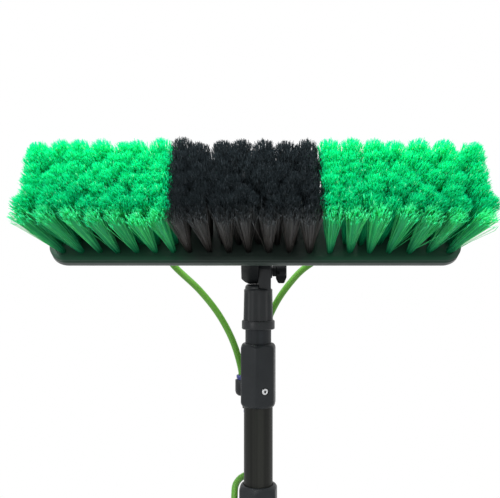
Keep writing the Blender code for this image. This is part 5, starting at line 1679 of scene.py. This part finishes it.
y_fitting()
collet("left", OUTLET_X["left"], OUTLET_Z, 1)
collet("right", OUTLET_X["right"], OUTLET_Z, 1)
collet("inlet", FITTING_X, FOOT_Z, -1)
branch_hose("left")
branch_hose("right")
water_line, line_path = supply_hose()
line_x, line_y, line_z = line_path[-1]
nut_z = line_z + NUT_OVER - NUT_L
plug = inlet_plug(line_x, line_y, nut_z - SEAT_GAP)
plug_nut = inlet_nut(line_x, line_y, nut_z)
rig.cord(
    water_line, line_path[0], length_of(line_path), 2 * HOSE_R, "connector",
    stiffness="medium", lay="hanging", path=line_path, with_pieces=(plug, plug_nut),
)
strap()

# Nodes inside the pole, kept in shape and coloured grey
for name in ("plug_middle", "plug_top", "lock_sleeve_lower", "lock_sleeve_upper"):
    mesh = nodes[name].data
    mesh.materials.clear()
    mesh.materials.append(M["grey"])
    shade(mesh, 32)

# Floor, light and camera
FLOOR_R = 1.3
FLOOR_Z = -0.0005
FLOOR_SIDES = 96
ROOM_FRONT = 0.88
FOCAL_PX = 704.0
SHIFT_PX = 7.0
PHOTO_PX = 500.0
SENSOR_MM = 36.0
CAMERA_AT = (-0.0073, -0.62, PIVOT_Z + 0.0132)


def studio_floor():
    p = Paint("floor")
    p.colour(p.ramp(p.noise(3.0), [(0.3, (0.60, 0.60, 0.60)), (0.7, (0.64, 0.64, 0.64))]))
    p.set(Roughness=0.8)
    mesh = bpy.data.meshes.new("floor")
    mesh.from_pydata(circle(FLOOR_R, FLOOR_Z, FLOOR_SIDES), [], [tuple(range(FLOOR_SIDES))])
    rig.stage(add_object("floor", mesh, p.mat))


def studio_world():
    """White all round to look at; in the light on the object the room is dimmer on the camera's side."""
    world = bpy.data.worlds.new("studio")
    scene.world = world
    world.use_nodes = True
    tree = world.node_tree
    back = tree.nodes["Background"]
    back.inputs["Color"].default_value = (1.0, 1.0, 1.0, 1.0)
    where = tree.nodes.new("ShaderNodeTexCoord")
    axes = tree.nodes.new("ShaderNodeSeparateXYZ")
    fade = tree.nodes.new("ShaderNodeMapRange")
    path = tree.nodes.new("ShaderNodeLightPath")
    pick = tree.nodes.new("ShaderNodeMix")
    for key, value in (("From Min", -1.0), ("From Max", 1.0), ("To Min", ROOM_FRONT), ("To Max", 1.0)):
        fade.inputs[key].default_value = value
    pick.inputs["B"].default_value = 1.0
    tree.links.new(where.outputs["Generated"], axes.inputs[0])
    tree.links.new(axes.outputs["Y"], fade.inputs["Value"])
    seen = path.outputs["Is Camera Ray"]
    for kind in ("Is Glossy Ray", "Is Transmission Ray"):
        either = tree.nodes.new("ShaderNodeMath")
        either.operation = "MAXIMUM"
        tree.links.new(seen, either.inputs[0])
        tree.links.new(path.outputs[kind], either.inputs[1])
        seen = either.outputs["Value"]
    tree.links.new(seen, pick.inputs["Factor"])
    tree.links.new(fade.outputs["Result"], pick.inputs["A"])
    tree.links.new(pick.outputs["Result"], back.inputs["Strength"])


def lamp(name, at, aim, size, watts):
    data = bpy.data.lights.new(name, "AREA")
    data.shape = "DISK"
    data.size = size
    data.energy = watts
    obj = bpy.data.objects.new(name, data)
    scene.collection.objects.link(obj)
    obj.location = at
    obj.rotation_euler = (Vector(aim) - Vector(at)).to_track_quat("-Z", "Y").to_euler()


studio_floor()
studio_world()
lamp("sky", (-0.2, -0.4, 2.4), (0.0, -0.05, 1.05), 1.4, 44.0)
lamp("key", (-1.5, -1.6, 1.5), (0.0, 0.0, 0.95), 0.6, 8.0)

lens = bpy.data.cameras.new("camera")
lens.lens = FOCAL_PX * SENSOR_MM / PHOTO_PX
lens.sensor_width = SENSOR_MM
lens.shift_y = SHIFT_PX / PHOTO_PX
lens.clip_start = 0.01
lens.clip_end = 100.0
camera = bpy.data.objects.new("camera", lens)
scene.collection.objects.link(camera)
camera.location = CAMERA_AT
camera.rotation_euler = (math.pi / 2, 0.0, 0.0)
scene.camera = camera
scene.view_settings.view_transform = "Standard"

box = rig.bounds()
with open("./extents.json", "w") as out:
    json.dump({"cad": [list(v) for v in cad_box], "visual": [list(v) for v in box]}, out)
